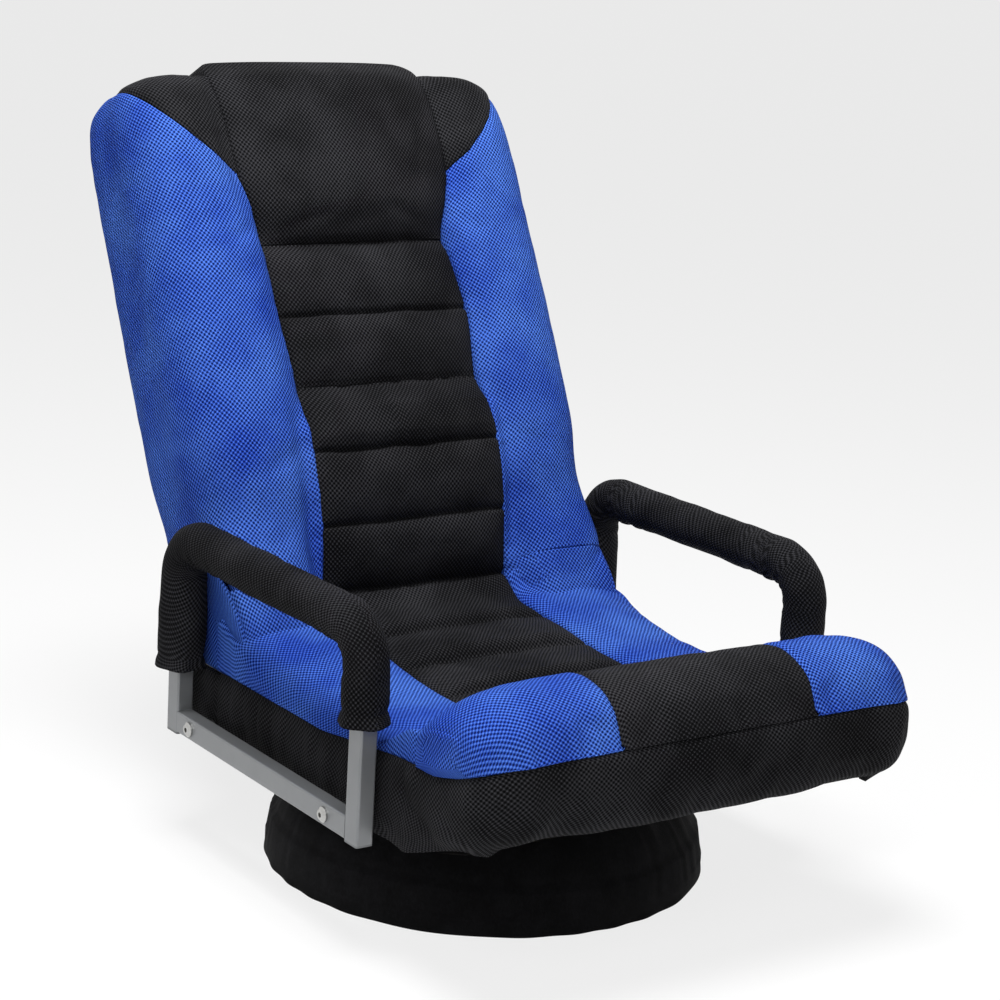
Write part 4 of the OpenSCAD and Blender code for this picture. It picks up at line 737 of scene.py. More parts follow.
def cheek_rings(side):
    """The round end of the seat's side that covers the hinge."""
    a = full_turn(96)
    rings = []
    for x, r in [(CHEEK_IN, 60), (CHEEK_IN, 99), (CHEEK_IN + 1.5, 102.5), (CHEEK_IN + 4.5, 103.8),
                 (CHEEK_OUT - 2.2, 102.6), (CHEEK_OUT - 0.8, 99), (CHEEK_OUT, 90), (CHEEK_OUT, 60)]:
        r_at = r * (1 - CHEEK_DIP * bell(a - 2.25, 0.6))
        y = np.minimum(HINGE_Y + r_at * np.cos(a), HINGE_Y + REAR_T * 0.6 - (KNUCKLE_R - r) * 0.08)
        z = np.maximum(HINGE_Z + r_at * np.sin(a), BAND_REAR_Z + 1 + (KNUCKLE_R - r) * 0.04)
        rings.append(xyz(x, y, z))
    return on_side(np.stack(rings), side)


def roll_rings(xs, form, seed, cut_x, folds):
    """Sections of the front roll: under its edge, up from the front seam, over and down to the seat."""
    fine = np.linspace(SEAM_ANGLE, 174, 68)
    angle, floor_z = np.radians(fine), FOAM_TOP + GAP
    rings = []
    for x in xs:
        ax = abs(x)
        front = float(roll_seam_at(ax))
        seam = float(seam_height(ax, front)) + GAP
        r_front = (ROLL_Y - front) / math.cos(math.radians(SEAM_ANGLE))
        y = ROLL_Y - mix(r_front, ROLL_R * 0.95, ease(fine, 60, 120)) * np.cos(angle)
        z = ROLL_Z + ROLL_R * float(roll_height(ax)) * np.sin(angle)
        z = np.where(fine < 46, mix(seam, z, ease(fine, SEAM_ANGLE - 10, 46)), z)
        body = xyz(x, y, z)
        corner = float(clamp((ax - ROLL_CORNER_X) / CORNER_R))
        low_y = min(ROLL_Y - BAND_T, front + 2.5 * BAND_T * (1 + corner))
        low = [(y0, floor_z) for y0 in (ROLL_REAR, (low_y + ROLL_REAR) / 2, low_y)]
        low.append(((low_y + front) / 2, seam - 1.0))
        if ax >= FRAME_X:
            low = [(y0, max(floor_z, float(side_seam(y0)) + GAP)) for y0, _ in low]
        under = np.array([body[-1]] + [(x, y0, z0) for y0, z0 in low] + [body[0]])
        rings.append(np.concatenate([body, bend(under, 3, sharp=(1, 3, 4))[1:-1]]))
    rings = np.array(rings)
    face = rings[:, :len(fine)]
    away = facing(rings, closed=True)[:, :len(fine)]
    run = shares(face)
    lift = uneven(form, face, (1.3, (46, 40, 30), seed), (0.8, (20, 22, 16), seed + 2))
    lift += bell(run * 170, 26) * uneven(form, face, (2.2, (8, 60, 60), seed + 5))
    lift *= fade(run, 8, 0.01)
    lift -= 1.4 * bell(run * 170, 4) + 2.0 * bell(np.abs(face[..., 0]) - cut_x, 4) + creases(face, folds)
    face += away * lift[..., None]
    rings[..., 2] = np.maximum(rings[..., 2], floor_z)
    rings[..., 1] = np.minimum(rings[..., 1], ROLL_REAR)
    return rings


def roll_end_rings(side, form):
    """The roll's blue end, which tapers with the seat's side and closes in a shallow dome."""
    xs = np.concatenate([np.linspace(STRIP_X, ROLL_CORNER_X, 44, endpoint=False),
                         ROLL_CORNER_X + (CORNER_R - 0.1) * np.sin(np.linspace(0, math.pi / 2, 46))])
    rings = roll_rings(xs, form, 25 + side, STRIP_X, ROLL_END_CREASES)
    rings[..., 0] -= (ROLL_X - side_x(rings[..., 1])) * ease(rings[..., 0], ROLL_CORNER_X, ROLL_X)
    middle = rings[-1].mean(0)
    turn = np.linspace(0.1, 1, 9)[:, None, None] * math.pi / 2
    dome = middle + (rings[-1] - middle) * (1 - ROLL_DOME_IN * (1 - np.cos(turn)))
    dome = dome + np.array([ROLL_DOME_OUT, 0, 0]) * np.sin(turn)
    return on_side(np.concatenate([rings, dome]), side)


def band_stations():
    """Where the band's sections stand: place, the way they face, their top and lower edge, and their curl."""
    hem_z = BAND_FRONT_Z + 1.0
    y = np.concatenate([np.linspace(0.57, -0.5, 60), np.linspace(-0.51, -0.85, 30)]) * SEAT_FRONT
    low = mix(RAIL_Z, BAND_FRONT_Z, clamp((-RAIL_FRONT - y) / (-RAIL_FRONT - UNDER_FRONT_Y))) + 1.0
    flank = (side_x(y), y, 0, mix(side_seam(y), BAND_REAR_Z, ease(y, BOLSTER_REAR - 4, BOLSTER_REAR + 4)),
             low + HEM_LIFT * ease(-y, RAIL_FRONT, -UNDER_FRONT_Y),
             mix(SIDE_CURL, CORNER_CURL, clamp((-y / SEAT_FRONT - 0.62) / 0.3)))
    a = np.linspace(2, 86, 30)
    x = ROLL_CORNER_X + CORNER_R * np.cos(np.radians(a))
    y = ROLL_SEAM_Y + CORNER_R - CORNER_R * np.sin(np.radians(a))
    corner = (x, y, -a, seam_height(x, y), hem_z + HEM_LIFT * mix(1, CORNER_LIFT, ease(a, 0, 50)),
              mix(CORNER_CURL, FRONT_CURL, 0.35 * ease(a, 30, 90)))
    f = np.linspace(1, 0, 60)
    front = (ROLL_CORNER_X * f, ROLL_SEAM_Y, -90, ROLL_SEAM_Z,
             hem_z + HEM_LIFT * mix(1, CORNER_LIFT, ease(f, 0.45, 1)),
             mix(CORNER_CURL, FRONT_CURL, np.minimum(1, 2.2 * (1 - f) + 0.35)))
    half = np.concatenate([np.stack(np.broadcast_arrays(*part), -1) for part in (flank, corner, front)])
    other = half[-2::-1] * (-1, 1, -1, 1, 1, 1) - (0, 0, 180, 0, 0, 0)
    return np.concatenate([half, other])


def band_rings(form):
    x, y, a, high, low, curl = (column[:, None] for column in band_stations().T)
    outer, inner = np.array(BAND_SECTION), np.array(BAND_INNER)
    q = np.concatenate([BAND_BULGE * outer[:, 0] - curl * outer[:, 2],
                        -BAND_T * inner[:, 0] - np.where(curl > BAND_T, curl, 0) * inner[:, 2]], 1)
    drop = np.concatenate([outer[:, 1], inner[:, 1]])
    ca, sa = np.cos(np.radians(a)), np.sin(np.radians(a))
    section = xyz(x + q * ca, y + q * sa, mix(high, low, drop))
    face, inside = bend(section[:, :len(outer)], 9), bend(section[:, len(outer):], 3)
    run = shares(face)
    walk = lengths(face[:, 10])[:, None]
    hem = ease(run, 0.35, 0.95)
    lift = uneven(form, face, (1.9, (56, 56, 34), 31), (1.3, (22, 22, 20), 33))
    lift += hem * form.wrinkle / MM * 1.5 * np.sin(walk / 15 + 2 * ripple(face, 60, 35))
    lift += hem * uneven(form, face, (1.2, (16, 16, 60), 37))
    lift += (1 - hem) * ease(run, 0.0, 0.1) * uneven(form, face, (1.5, (10, 10, 50), 39))
    lift -= 1.6 * bell(run * 110, 4) + creases(face, BAND_CREASES)
    lift = np.clip(lift, -4.5 - 2 * hem, 4.5 - 1.5 * hem) * ease(run, 0, 0.06)
    return np.concatenate([face + xyz(ca, sa, 0) * lift[..., None], inside], 1)


# Back
def stepped(s, radius, stops, step):
    """A depth that follows the hinge's circle low down and then the stops, as shares of the lumbar depth."""
    return mix(arc(s, radius), LUMBAR_T * along(s / BACK_H, stops), ease(s / BACK_H, *step))


def seam_depth(s):
    return stepped(s, LUMBAR_END_R, SEAM_DEPTH, SEAM_STEP)


def strip_x(s):
    return BACK_X * along(s / BACK_H, STRIP_WIDTH)


def channel_pad_grids(folds, form, seed):
    count, steps = len(folds) - 1, CHANNEL_STEPS[1]
    ff, aa = lattice(np.linspace(0, count, count * steps + 1), np.linspace(-1, 1, 91))
    i = np.minimum(ff.astype(int), count - 1)
    t = ff - i
    stops = np.array(folds) * BACK_H
    depth = seam_depth(stops)
    s = mix(stops[i], stops[i + 1], t)
    edge = np.minimum(seam_depth(s), mix(depth[i], depth[i + 1], t) + 4.5)
    width = strip_x(s) - GAP
    across = 1 - np.abs(aa) ** 5
    base = xyz(aa * width, edge, s)
    near = bell(np.minimum(t, 1 - t), 0.15)
    rise = BACK_CHANNEL_H * puff(t, 2.6) * across - BACK_STITCH * stitches(ff, count, 0.03)
    rise += across * (near * uneven(form, base, (1.5, (9, 60, 60), seed))
                      + uneven(form, base, (0.6, (60, 30, 28), seed + 2), (0.5, (15, 15, 13), seed + 4)))
    rise -= 1.8 * bell((1 - np.abs(aa)) * width, 4)
    s = s + 2.0 * ripple(base, (34, 80, 80), seed + 6) * near
    end = np.where(s < LUMBAR_END_S, arc(s, LUMBAR_END_R), 2 * LUMBAR_T)
    return (on_back(xyz(aa * width, np.minimum(edge + rise, end), s)), on_back(xyz(aa * width, PAD_PLANE, s)))


def headrest_grids(form):
    ff, aa = lattice(runs((HEAD_LOW, 0.70, 22), (0.70, 0.92, 58), (0.92, 1.0, 26)), np.linspace(-1, 1, 101))
    s = ff * BACK_H
    past = clamp((s - (BACK_H - 18)) / 18)
    width = strip_x(s) - GAP - 18 * (1 - np.sqrt(1 - 0.96 * past ** 2))
    edge = seam_depth(s)
    proud = (form.headrest_proud / MM) * along(ff, HEAD_PROUD)
    base = xyz(aa * width, edge + proud, s)
    inside = clamp(puff((ff - HEAD_LOW) / (1 - HEAD_LOW), 6)) * (1 - np.abs(aa) ** 6)
    rise = proud * (1 - np.abs(aa) ** 3.2)
    rise += inside * uneven(form, base, (0.8, (80, 40, 60), 51), (0.4, (26, 20, 22), 53))
    rise -= creases(xyz(aa * width, s, 0), HEAD_CREASES) + 1.6 * bell((1 - np.abs(aa)) * width, 3.5)
    rear = np.where(s > CORE_TOP, -REAR_T * along(ff, HEAD_REAR), PAD_PLANE)
    return (on_back(xyz(aa * width, edge + rise, s)),
            on_back(xyz(aa * width, np.minimum(rear, edge + rise - 0.5), s)))


def shoulder_plane():
    """A point on the seam of the shoulder patch and the direction square to it, on the right-hand side."""
    lean, tilt, rise = -BACK_LEAN, math.radians(26.0), math.radians(-40.0)
    turn = Matrix.Rotation(lean, 3, "X") @ Matrix.Rotation(tilt, 3, "X") @ Matrix.Rotation(rise, 3, "Y")
    at = on_back(np.array([BACK_X * 0.554, LUMBAR_T * 0.81, BACK_H * 0.771]))
    return at, np.array(turn @ Vector((0, 0, 1)))


def back_side_rings(side, form):
    s = BACK_H * np.concatenate([np.linspace(0.977, 0.925, 26), np.linspace(0.9249, 0.077, 164),
                                 [0.0755, 0.074, 0.0725, 0.071], np.linspace(0.069, -0.065, 38)])
    x0, x1 = strip_x(s), BACK_X * along(s / BACK_H, BACK_WIDTH)
    front, rear = stepped(s, KNUCKLE_R, CREST_DEPTH, FOOT_STEP), -REAR_T * along(s / BACK_H, REAR_DEPTH)
    seam = np.minimum(front, seam_depth(s))
    section = [xyz(x0, seam, s)]
    foot = 1 - ease(s, 55, 170)
    for share, height in BACK_SECTION:
        t = mix(rear, front, mix(height, FOOT_SECTION.get(share, height), foot))
        if share in FOOT_SECTION:
            flat = mix(-REAR_T, LUMBAR_T * 0.953, FOOT_SECTION[share])
            t = np.where(s < BACK_H * 0.0755, np.minimum(front, np.where(s < 0, arc(s, flat), flat)), t)
        section.append(xyz(mix(x0, x1, share), t, s))
    section.append(xyz(np.minimum(x1 - 6, mix(x0, x1, 0.72)), rear, s))
    face = bend(np.stack(section, 1), 8)
    away = facing(face)
    run = shares(face)
    rise = uneven(form, face, (0.9, (90, 60, 110), 71 + side), (0.4, (26, 30, 34), 73 + side),
                  (0.35, (11, 12, 16), 75 + side))
    rise += bell(run * 260, 22) * uneven(form, face, (1.6, (60, 60, 9), 77 + side))
    rise *= fade(run, 8, 0.02)
    rise -= SEAM_DIP * bell(run * 260, 4.5) + creases(face, BACK_CREASES)
    plane_at, plane_out = shoulder_plane()
    gap = (on_back(face) - plane_at) @ plane_out
    rise -= 2.4 * bell(gap, 4.0) + bell(gap, 16) * uneven(form, face, (1.3, (12, 60, 30), 79))
    face = face + away * rise[..., None]

    # The rear side is notched round the foam core, below the core's top
    def notch(at_core, x_above, t_core, t_above):
        return xyz(np.where(s < CORE_TOP, at_core, x_above), np.where(s < CORE_TOP, t_core, t_above), s)

    inner = [notch(REAR_WRAP_X, mix(x0, x1, 0.5), rear, rear), notch(REAR_WRAP_X, x0 + 2, -REAR_PLANE, rear),
             notch(WALL_X, x0 + 2, -REAR_PLANE, mix(rear, seam, 0.3)),
             notch(WALL_X, x0 + 2, PAD_PLANE, mix(rear, seam, 0.6)),
             notch(x0, x0, PAD_PLANE, mix(rear, seam, 0.8))]
    inside = bend(np.concatenate([face[:, -1:], np.stack(inner, 1), face[:, :1]], 1), 2,
                  sharp=(1, 2, 3, 4, 5))[:, 1:-1]
    rings = np.concatenate([face, inside], 1)
    round_hinge = np.hypot(rings[..., 1], rings[..., 2])
    flank = 1 - ease(round_hinge, KNUCKLE_R + 1, KNUCKLE_R + 4)
    beside = mix(NARROW_X - 0.2, FLANK_X, ease(round_hinge, HINGE_ROOM_R, HINGE_ROOM_R + 6))
    rings[..., 0] = np.where(rings[..., 0] > beside, mix(rings[..., 0], beside, flank), rings[..., 0])
    below = (rings[..., 2] < LUMBAR_END_S) & (rings[..., 1] > 0) & (round_hinge > KNUCKLE_R)
    rings[..., 1:] *= np.where(below, KNUCKLE_R / round_hinge, 1)[..., None]
    return on_side(on_back(rings), side)


# Sleeves and covers
def sleeve_path():
    """Points along the middle of the arm tube, the way that each faces, and the length so far."""
    turn = np.linspace(0, math.pi / 2, 24, endpoint=False)
    near, far = ARM_BEND * (1 - np.cos(turn)), ARM_BEND * (1 - np.sin(turn))
    leg_top = ARM_TOP - ARM_BEND
    parts = [(ARM_FRONT_Y, np.linspace(SLEEVE_FRONT_Z, leg_top, 30, endpoint=False)),
             (ARM_FRONT_Y + near, ARM_TOP - far),
             (np.linspace(ARM_FRONT_Y + ARM_BEND, ARM_REAR_Y - ARM_BEND, 90, endpoint=False), ARM_TOP),
             (ARM_REAR_Y - far, ARM_TOP - near),
             (ARM_REAR_Y, np.linspace(leg_top, SLEEVE_REAR_Z, 52))]
    p = np.concatenate([np.stack(np.broadcast_arrays(*part), -1) for part in parts])
    d = np.gradient(p, axis=0)
    d /= np.linalg.norm(d, axis=1, keepdims=True)
    return p, d, lengths(p)


def sleeve_rings(side, form):
    p, d, length = sleeve_path()
    rest = length[-1] - length
    a = full_turn(72)
    c, s = np.cos(a), np.sin(a)
    out = np.stack([-d[:, 1], d[:, 0]], 1)

    def ring(i, reach_x, reach_out):
        """A section about the tube at a point of its path."""
        y, z = (p[i, k] + out[i, k] * reach_out * c for k in (0, 1))
        return xyz(ARM_X + reach_x * s, y, z)

    w = form.wrinkle / MM
    start, end = bell(length, 9), bell(rest, 9)
    radius = SLEEVE_R + 1.9 * start + 1.9 * end - 1.3 * bell(length - 15, 4) - 1.2 * bell(rest - 13, 4)
    wide = radius + 3.4 * (1 - ease(rest, 50, 120))
    outer = np.stack([ring(i, radius[i], wide[i]) for i in range(len(p))])
    away = outer - xyz(ARM_X, p[:, 0], p[:, 1])[:, None]
    away /= np.linalg.norm(away, axis=-1, keepdims=True)
    rise = uneven(form, outer, (1.0, (40, 40, 30), 91 + side), (0.7, (17, 17, 15), 93 + side))
    wave = np.sin(length / 3.6 + 0.8 * math.pi) + 0.6 * np.sin(length / 2.3)
    for centre in (ARM_FRONT_Y + ARM_BEND, ARM_REAR_Y - ARM_BEND):
        bend_in = bell(p[:, 0] - centre, 42) * (p[:, 1] > ARM_TOP - ARM_BEND * 1.2)
        rise += (bend_in * wave)[:, None] * clamp(-c) * w * 1.7
    rise -= 1.3 * bell(a - math.pi * (0.5 if side > 0 else 1.5), 0.05)
    rear_leg = 1 - ease(rest, 60, 150)[:, None]
    rise += rear_leg * (uneven(form, outer, (2.0, (20, 20, 46), 97 + side)) + w * (1.2 * np.abs(s) - 0.6))
    rise += np.maximum(start, end)[:, None] * w * 1.3 * np.sin(a * 5 + 1.0)
    outer = outer + away * np.minimum(rise, 2.6)[..., None]

    square = np.minimum(1 / np.maximum(np.abs(s) / TUBE_HALF_X, np.abs(c) / TUBE_HALF_Y), TUBE_CORNER_R)
    first, last = ring(0, square, square), ring(len(p) - 1, square, square)
    inner = [last] + [ring(i, square, square) for i in range(0, len(p), 3)][::-1]
    rims = [[mix(outer[-1], last, f) for f in (0.2, 0.6)], [mix(first, outer[0], f) for f in (0.4, 0.8)]]
    return on_side(np.concatenate([outer, np.stack(rims[0]), np.stack(inner), np.stack(rims[1])]), side)


def cover_rings(form):
    """The base cover from its hem on the floor, up over the ring and legs and in to the hub."""
    uu, aa = lattice(runs((0, 0.2, 12), (0.2, 0.9, 54), (0.9, 1, 12)), full_turn(360))
    turn = np.radians(mix(4, 90, clamp((uu - 0.2) / 0.7)))
    r = np.where(uu < 0.2, COVER_R, COVER_BEND_R + COVER_OVER_R * np.cos(turn))
    r = np.where(uu > 0.9, mix(COVER_BEND_R, COVER_HUB_R, (uu - 0.9) / 0.1), r)
    z = np.where(uu < 0.2, mix(COVER_HEM_Z, RING_TOP, uu / 0.2), COVER_BEND_Z + COVER_OVER_R * np.sin(turn))
    z = np.where(uu > 0.9, COVER_TOP, z)
    r = mix(np.where(uu < 0.27, COVER_R, r), r, ease(uu, 0.14, 0.27))
    slack = (1 - np.abs(np.cos(2 * aa)) ** 1.5) * 11 * puff(clamp((uu - 0.15) / 0.8))
    slack += 2.0 * puff(clamp((uu - 0.1) / 0.85)) * (1 + np.sin(7 * aa) * np.cos(3 * aa + 0.7))
    free = puff(clamp((uu - 0.05) / 0.93), 3)
    where = xyz(r * np.cos(aa), r * np.sin(aa), z)
    slack += free * uneven(form, where, (1.5, (60, 60, 60), 101), (0.8, (24, 24, 24), 103))
    slack += free * ease(uu, 0.15, 0.5) * np.abs(uneven(form, xyz(aa * 11, 0, uu * 2.2), (2.3, 1.0, 105)))
    slack += (ease(uu, 0.05, 0.2) * (1 - ease(uu, 0.55, 0.95))
              * uneven(form, xyz(aa * 29, 0, uu * 3.0), (1.2, 1.0, 107)))
    for k in range(4):
        over_leg = (aa - k * math.pi / 2 + math.pi) % (2 * math.pi) - math.pi
        slack -= bell(over_leg, 0.05) * puff(clamp((uu - 0.2) / 0.75))
    slack = slack * 0.8
    flat = clamp((uu - 0.45) / 0.4)
    hem = 1 - ease(uu, 0.0, 0.05)
    r = r - slack * (1 - flat) + hem * 0.9 * np.sin(aa * 23 + 3 * np.sin(aa * 4)) * form.wrinkle / MM
    return xyz(r * np.cos(aa), r * np.sin(aa), np.where(uu < 0.004, 0.8, z - slack * flat))


# Settings
def colour(name, description, red, green, blue):
    return bpy.props.FloatVectorProperty(name=name, description=description, subtype="COLOR", size=4, min=0,
                                         max=1, default=paint(red, green, blue))


def distance(name, description, default, low, high, precision=2):
    return bpy.props.FloatProperty(name=name, description=description, default=default, min=low, max=high,
                                   unit="LENGTH", subtype="DISTANCE", precision=precision)


class ChairForm(bpy.types.PropertyGroup):
    """Sizes of the soft pieces."""

    seat_channels: bpy.props.IntProperty(
        name="Seat channels", description="Stitched channels across the seat", default=5, min=3, max=7)
    headrest_proud: distance("Headrest thickness", "How far the headrest stands proud of the cover", 0.017,
                             0.005, 0.03)
    wrinkle: distance("Wrinkle depth", "Depth of the small wrinkles in the cloth", 0.001, 0.0, 0.003)


class ChairFinish(bpy.types.PropertyGroup):
    """Colours of the cloth and metal."""

    hole_pitch: distance("Hole pitch", "Distance between the holes of the air mesh", 0.0052, 0.003, 0.012, 4)
    blue_yarn: colour("Blue yarn", "Yarn of the blue mesh", 31, 62, 170)
    # Partly random lighter tone, and partly painted glints (painted highlight) at each knot of the blue mesh
    blue_glint_and_tone: colour("Blue yarn, light", "Painted glints and lighter yarn of the blue mesh", 104, 156, 250)
    # The hole colour is partly a darker ground and partly painted shade inside the holes
    blue_hole: colour("Blue ground", "Darker ground and painted shade in the holes of the blue mesh", 8, 18, 64)
    black_yarn: colour("Black yarn", "Yarn of the black mesh", 14, 14, 15)
    # Partly random lighter tone, and partly painted glints (painted highlight) at each knot of the black mesh
    black_glint_and_tone: colour("Black yarn, light", "Painted glints and lighter yarn of the black mesh", 69, 69, 73)
    cover_cloth: colour("Cover cloth", "Non-woven cloth of the base cover", 15, 15, 16)
    silver: colour("Silver paint", "Paint of the arm tubes", 120, 122, 124)


class ChairStage(bpy.types.PropertyGroup):
    """Camera and light."""

    lens: bpy.props.FloatProperty(
        name="Lens", description="Focal length in millimetres on a 36 mm sensor", default=92.65, min=20,
        max=200)
    key_light: bpy.props.FloatProperty(
        name="Key light", description="Power of the large lamp above", default=108.0, min=0, max=300,
        unit="POWER")
    sky: bpy.props.FloatProperty(
        name="Room light", description="Strength of the even light from all round", default=0.1, min=0, max=1)


# Operators
class PieceOperator:
    """What the operators share."""

    bl_options = {"REGISTER", "UNDO"}


class CHAIR_OT_seat_pad(PieceOperator, bpy.types.Operator):
    """Five stitched channels of black mesh over the seat foam"""

    bl_idname = "chair.seat_pad"
    bl_label = "Seat pad"

    def execute(self, context):
        pad = block("Seat_channels", *seat_pad_grids(context.scene.chair_form), "black", "seat")
        soft(pad, "seat_channel_pad")
        return {"FINISHED"}


class CHAIR_OT_seat_core(PieceOperator, bpy.types.Operator):
    """The foam slab under the seat cover"""

    bl_idname = "chair.seat_core"
    bl_label = "Seat foam"

    def execute(self, context):
        low, high = (np.array(c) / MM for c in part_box("seat_foam"))
        yy, xx = lattice(np.linspace(0, 1, 61), np.linspace(-1, 1, 41))
        x = xx * (high[0] - 2) * (1 - 0.14 * (1 - yy) ** 6)
        y = mix(low[1] + 3, high[1] - 1, yy)
        edge = (1 - np.abs(xx) ** 14) * (1 - (1 - yy) ** 14) * (1 - yy ** 30)
        top = mix(high[2] - 8, high[2] - 1, edge)
        under = np.minimum(low[2] + 0.8 + 30 * (1 - ease(yy, 0.0, 0.18)), top - 2)
        soft(block("Seat_foam", xyz(x, y, top), xyz(x, y, under), "foam", "seat"), "seat_foam")
        return {"FINISHED"}


class CHAIR_OT_seat_bolsters(PieceOperator, bpy.types.Operator):
    """Blue side bolsters of the seat with the round cheeks over the hinges"""

    bl_idname = "chair.seat_bolsters"
    bl_label = "Seat bolsters"

    def execute(self, context):
        form = context.scene.chair_form
        for side, word in SIDES:
            piece = skin("Seat_bolster_" + word, bolster_rings(side, form), "blue", "seat", start=20)
            soft(piece, "seat_bolster_" + word)
            skin("Seat_cheek_" + word, cheek_rings(side), "blue", "seat")
        return {"FINISHED"}


class CHAIR_OT_front_roll(PieceOperator, bpy.types.Operator):
    """The thick roll across the seat's front, black in the middle and blue at the ends"""

    bl_idname = "chair.front_roll"
    bl_label = "Front roll"

    def execute(self, context):
        form = context.scene.chair_form
        end = STRIP_X - GAP
        rings = roll_rings(np.linspace(-end, end, 90), form, 21, end, ROLL_CREASES)
        soft(skin("Front_roll_middle", rings, "black", "seat", start=40), "front_roll_middle")
        for side, word in SIDES:
            piece = skin("Front_roll_" + word, roll_end_rings(side, form), "blue", "seat", start=40)
            soft(piece, "front_roll_" + word)
        return {"FINISHED"}


class CHAIR_OT_seat_band(PieceOperator, bpy.types.Operator):
    """The black band of cover round the sides and front of the seat"""

    bl_idname = "chair.seat_band"
    bl_label = "Seat band"

    def execute(self, context):
        soft(skin("Seat_band", band_rings(context.scene.chair_form), "black", "seat"), "seat_band")
        return {"FINISHED"}


class CHAIR_OT_underside(PieceOperator, bpy.types.Operator):
    """Thin black cloth stapled under the seat, with an opening for the swivel"""

    bl_idname = "chair.underside"
    bl_label = "Underside cloth"

    def execute(self, context):
        low, high = (np.array(c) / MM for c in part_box("swivel_upper_plate"))
        hole = max(high[0], -low[0]) + 1.2
        edge_x = FRAME_X - 1
        ys = runs((UNDER_FRONT_Y + 1, -RAIL_FRONT, 12), (-RAIL_FRONT, -hole, 15), (-hole, hole, 15),
                  (hole, RAIL_REAR, 6))
        yy, xx = lattice(ys, runs((-edge_x, -hole, 21), (-hole, hole, 15), (hole, edge_x, 22)))
        front = (-RAIL_FRONT - yy) / (-RAIL_FRONT - UNDER_FRONT_Y)
        z = np.where(yy < -RAIL_FRONT, mix(RAIL_Z, BAND_FRONT_Z + HEM_LIFT - 1, front), RAIL_Z)
        grid = xyz(xx, yy, z - 0.5)
        spare = np.minimum(np.minimum(edge_x - np.abs(xx), RAIL_REAR - yy), yy - UNDER_FRONT_Y)
        from_hole = np.maximum(np.abs(xx), np.abs(yy)) - hole
        held = ease(spare, 0, 20) * ease(from_hole, 0, 20)
        grid[..., 2] += held * uneven(context.scene.chair_form, grid, (0.5, (40, 60, 40), 61))
        m, n = xx.shape
        quads = [(k, k + 1, k + n + 1, k + n) for k in range((m - 1) * n) if k % n < n - 1]
        flat = grid.reshape(-1, 3)
        faces = [quad for quad in quads if np.abs(flat[list(quad), :2].mean(0)).max() >= hole]
        used = sorted({k for quad in faces for k in quad})
        number = {k: i for i, k in enumerate(used)}
        cloth = make("Underside_cloth", flat[used], [[number[k] for k in quad] for quad in faces],
                     [flat[k, :2] * MM for quad in faces for k in quad], "cover", "seat")
        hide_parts("underside_cloth")
        return {"FINISHED"}


class CHAIR_OT_back_pads(PieceOperator, bpy.types.Operator):
    """Channelled lumbar and upper pads and the proud headrest"""

    bl_idname = "chair.back_pads"
    bl_label = "Back pads"

    def execute(self, context):
        form = context.scene.chair_form
        for name, node, grids, fill in (
                ("Lumbar_pad", "lumbar_pad", channel_pad_grids(LUMBAR_FOLDS, form, 41), 0.75),
                ("Upper_back_pad", "upper_back_pad", channel_pad_grids(UPPER_FOLDS, form, 45), 0.75),
                ("Headrest", "headrest", headrest_grids(form), 0.85)):
            soft(block(name, *grids, "black", "back"), node)
        return {"FINISHED"}


class CHAIR_OT_back_sides(PieceOperator, bpy.types.Operator):
    """Blue side bolsters of the back, the black shoulder patches and the panels beside the hinges"""

    bl_idname = "chair.back_sides"
    bl_label = "Back sides"

    def execute(self, context):
        at, out = shoulder_plane()
        for side, word in SIDES:
            rings = back_side_rings(side, context.scene.chair_form)
            for name, node, above, cloth in (("Back_bolster_", "back_bolster_", False, "blue"),
                                             ("Shoulder_", "shoulder_", True, "black")):
                piece = skin(name + word, rings, cloth, "back", start=20)
                cut_at(piece, on_side(at + out * (GAP if above else 0.0), side), on_side(out, side), above)
                soft(piece, node + word)
        t, s = -np.cos(full_turn(96)), np.sin(full_turn(96))
        rings = [xyz(NARROW_X + x, np.maximum(t * r, -REAR_T), np.maximum(s * r, PANEL_LOW))
                 for x, r in ((0.4, 60), (0.4, 103), (1.2, 103.6), (2, 103), (2, 60))]
        for side, word in SIDES:
            panel = skin("Back_side_panel_" + word, on_side(on_back(np.stack(rings)), side), "blue", "back")
            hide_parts("back_side_panels")
        return {"FINISHED"}


class CHAIR_OT_back_core(PieceOperator, bpy.types.Operator):
    """Foam in front of and behind the back frame, and the black rear cover"""

    bl_idname = "chair.back_core"
    bl_label = "Back foam and rear cover"

    def execute(self, context):
        yy, xx = lattice(np.linspace(0, 1, 90), np.linspace(-1, 1, 61))
        s = mix(CORE_LOW + 1, CORE_TOP - 1, yy)
        edge = (1 - np.abs(xx) ** 16) * (1 - np.abs(2 * yy - 1) ** 24)
        for name, node, (front, rear) in (("Back_front_foam", "back_front_foam", FRONT_FOAM_T),
                                          ("Back_rear_foam", "back_rear_foam", REAR_FOAM_T)):
            top = xyz(xx * CORE_X, mix(mix(rear, front, 0.75), front, edge), s)
            under = xyz(xx * CORE_X, mix(mix(rear, front, 0.25), rear, edge), s)
            soft(block(name, on_back(top), on_back(under), "foam", "back"), node)
        ff, aa = lattice(np.linspace(0, 1, 130), np.linspace(-1, 1, 81))
        x, s = aa * (REAR_WRAP_X - 1.0), mix(CORE_LOW + 1, CORE_TOP - 1, ff)
        edge = (1 - np.abs(aa) ** 8) * (1 - np.abs(2 * ff - 1) ** 14)
        t = -REAR_PLANE - 4 - edge * (4.6 + uneven(context.scene.chair_form, xyz(x, 0, s),
                                                   (1.2, (70, 50, 60), 81), (0.7, (24, 30, 30), 83)))
        top, under = xyz(x, np.maximum(t, -REAR_T - 1.5), s), xyz(x, -REAR_PLANE - 0.4, s)
        cover = block("Back_rear_cover", on_back(top), on_back(under), "cover", "back")
        soft(cover, "back_rear_cover")
        return {"FINISHED"}


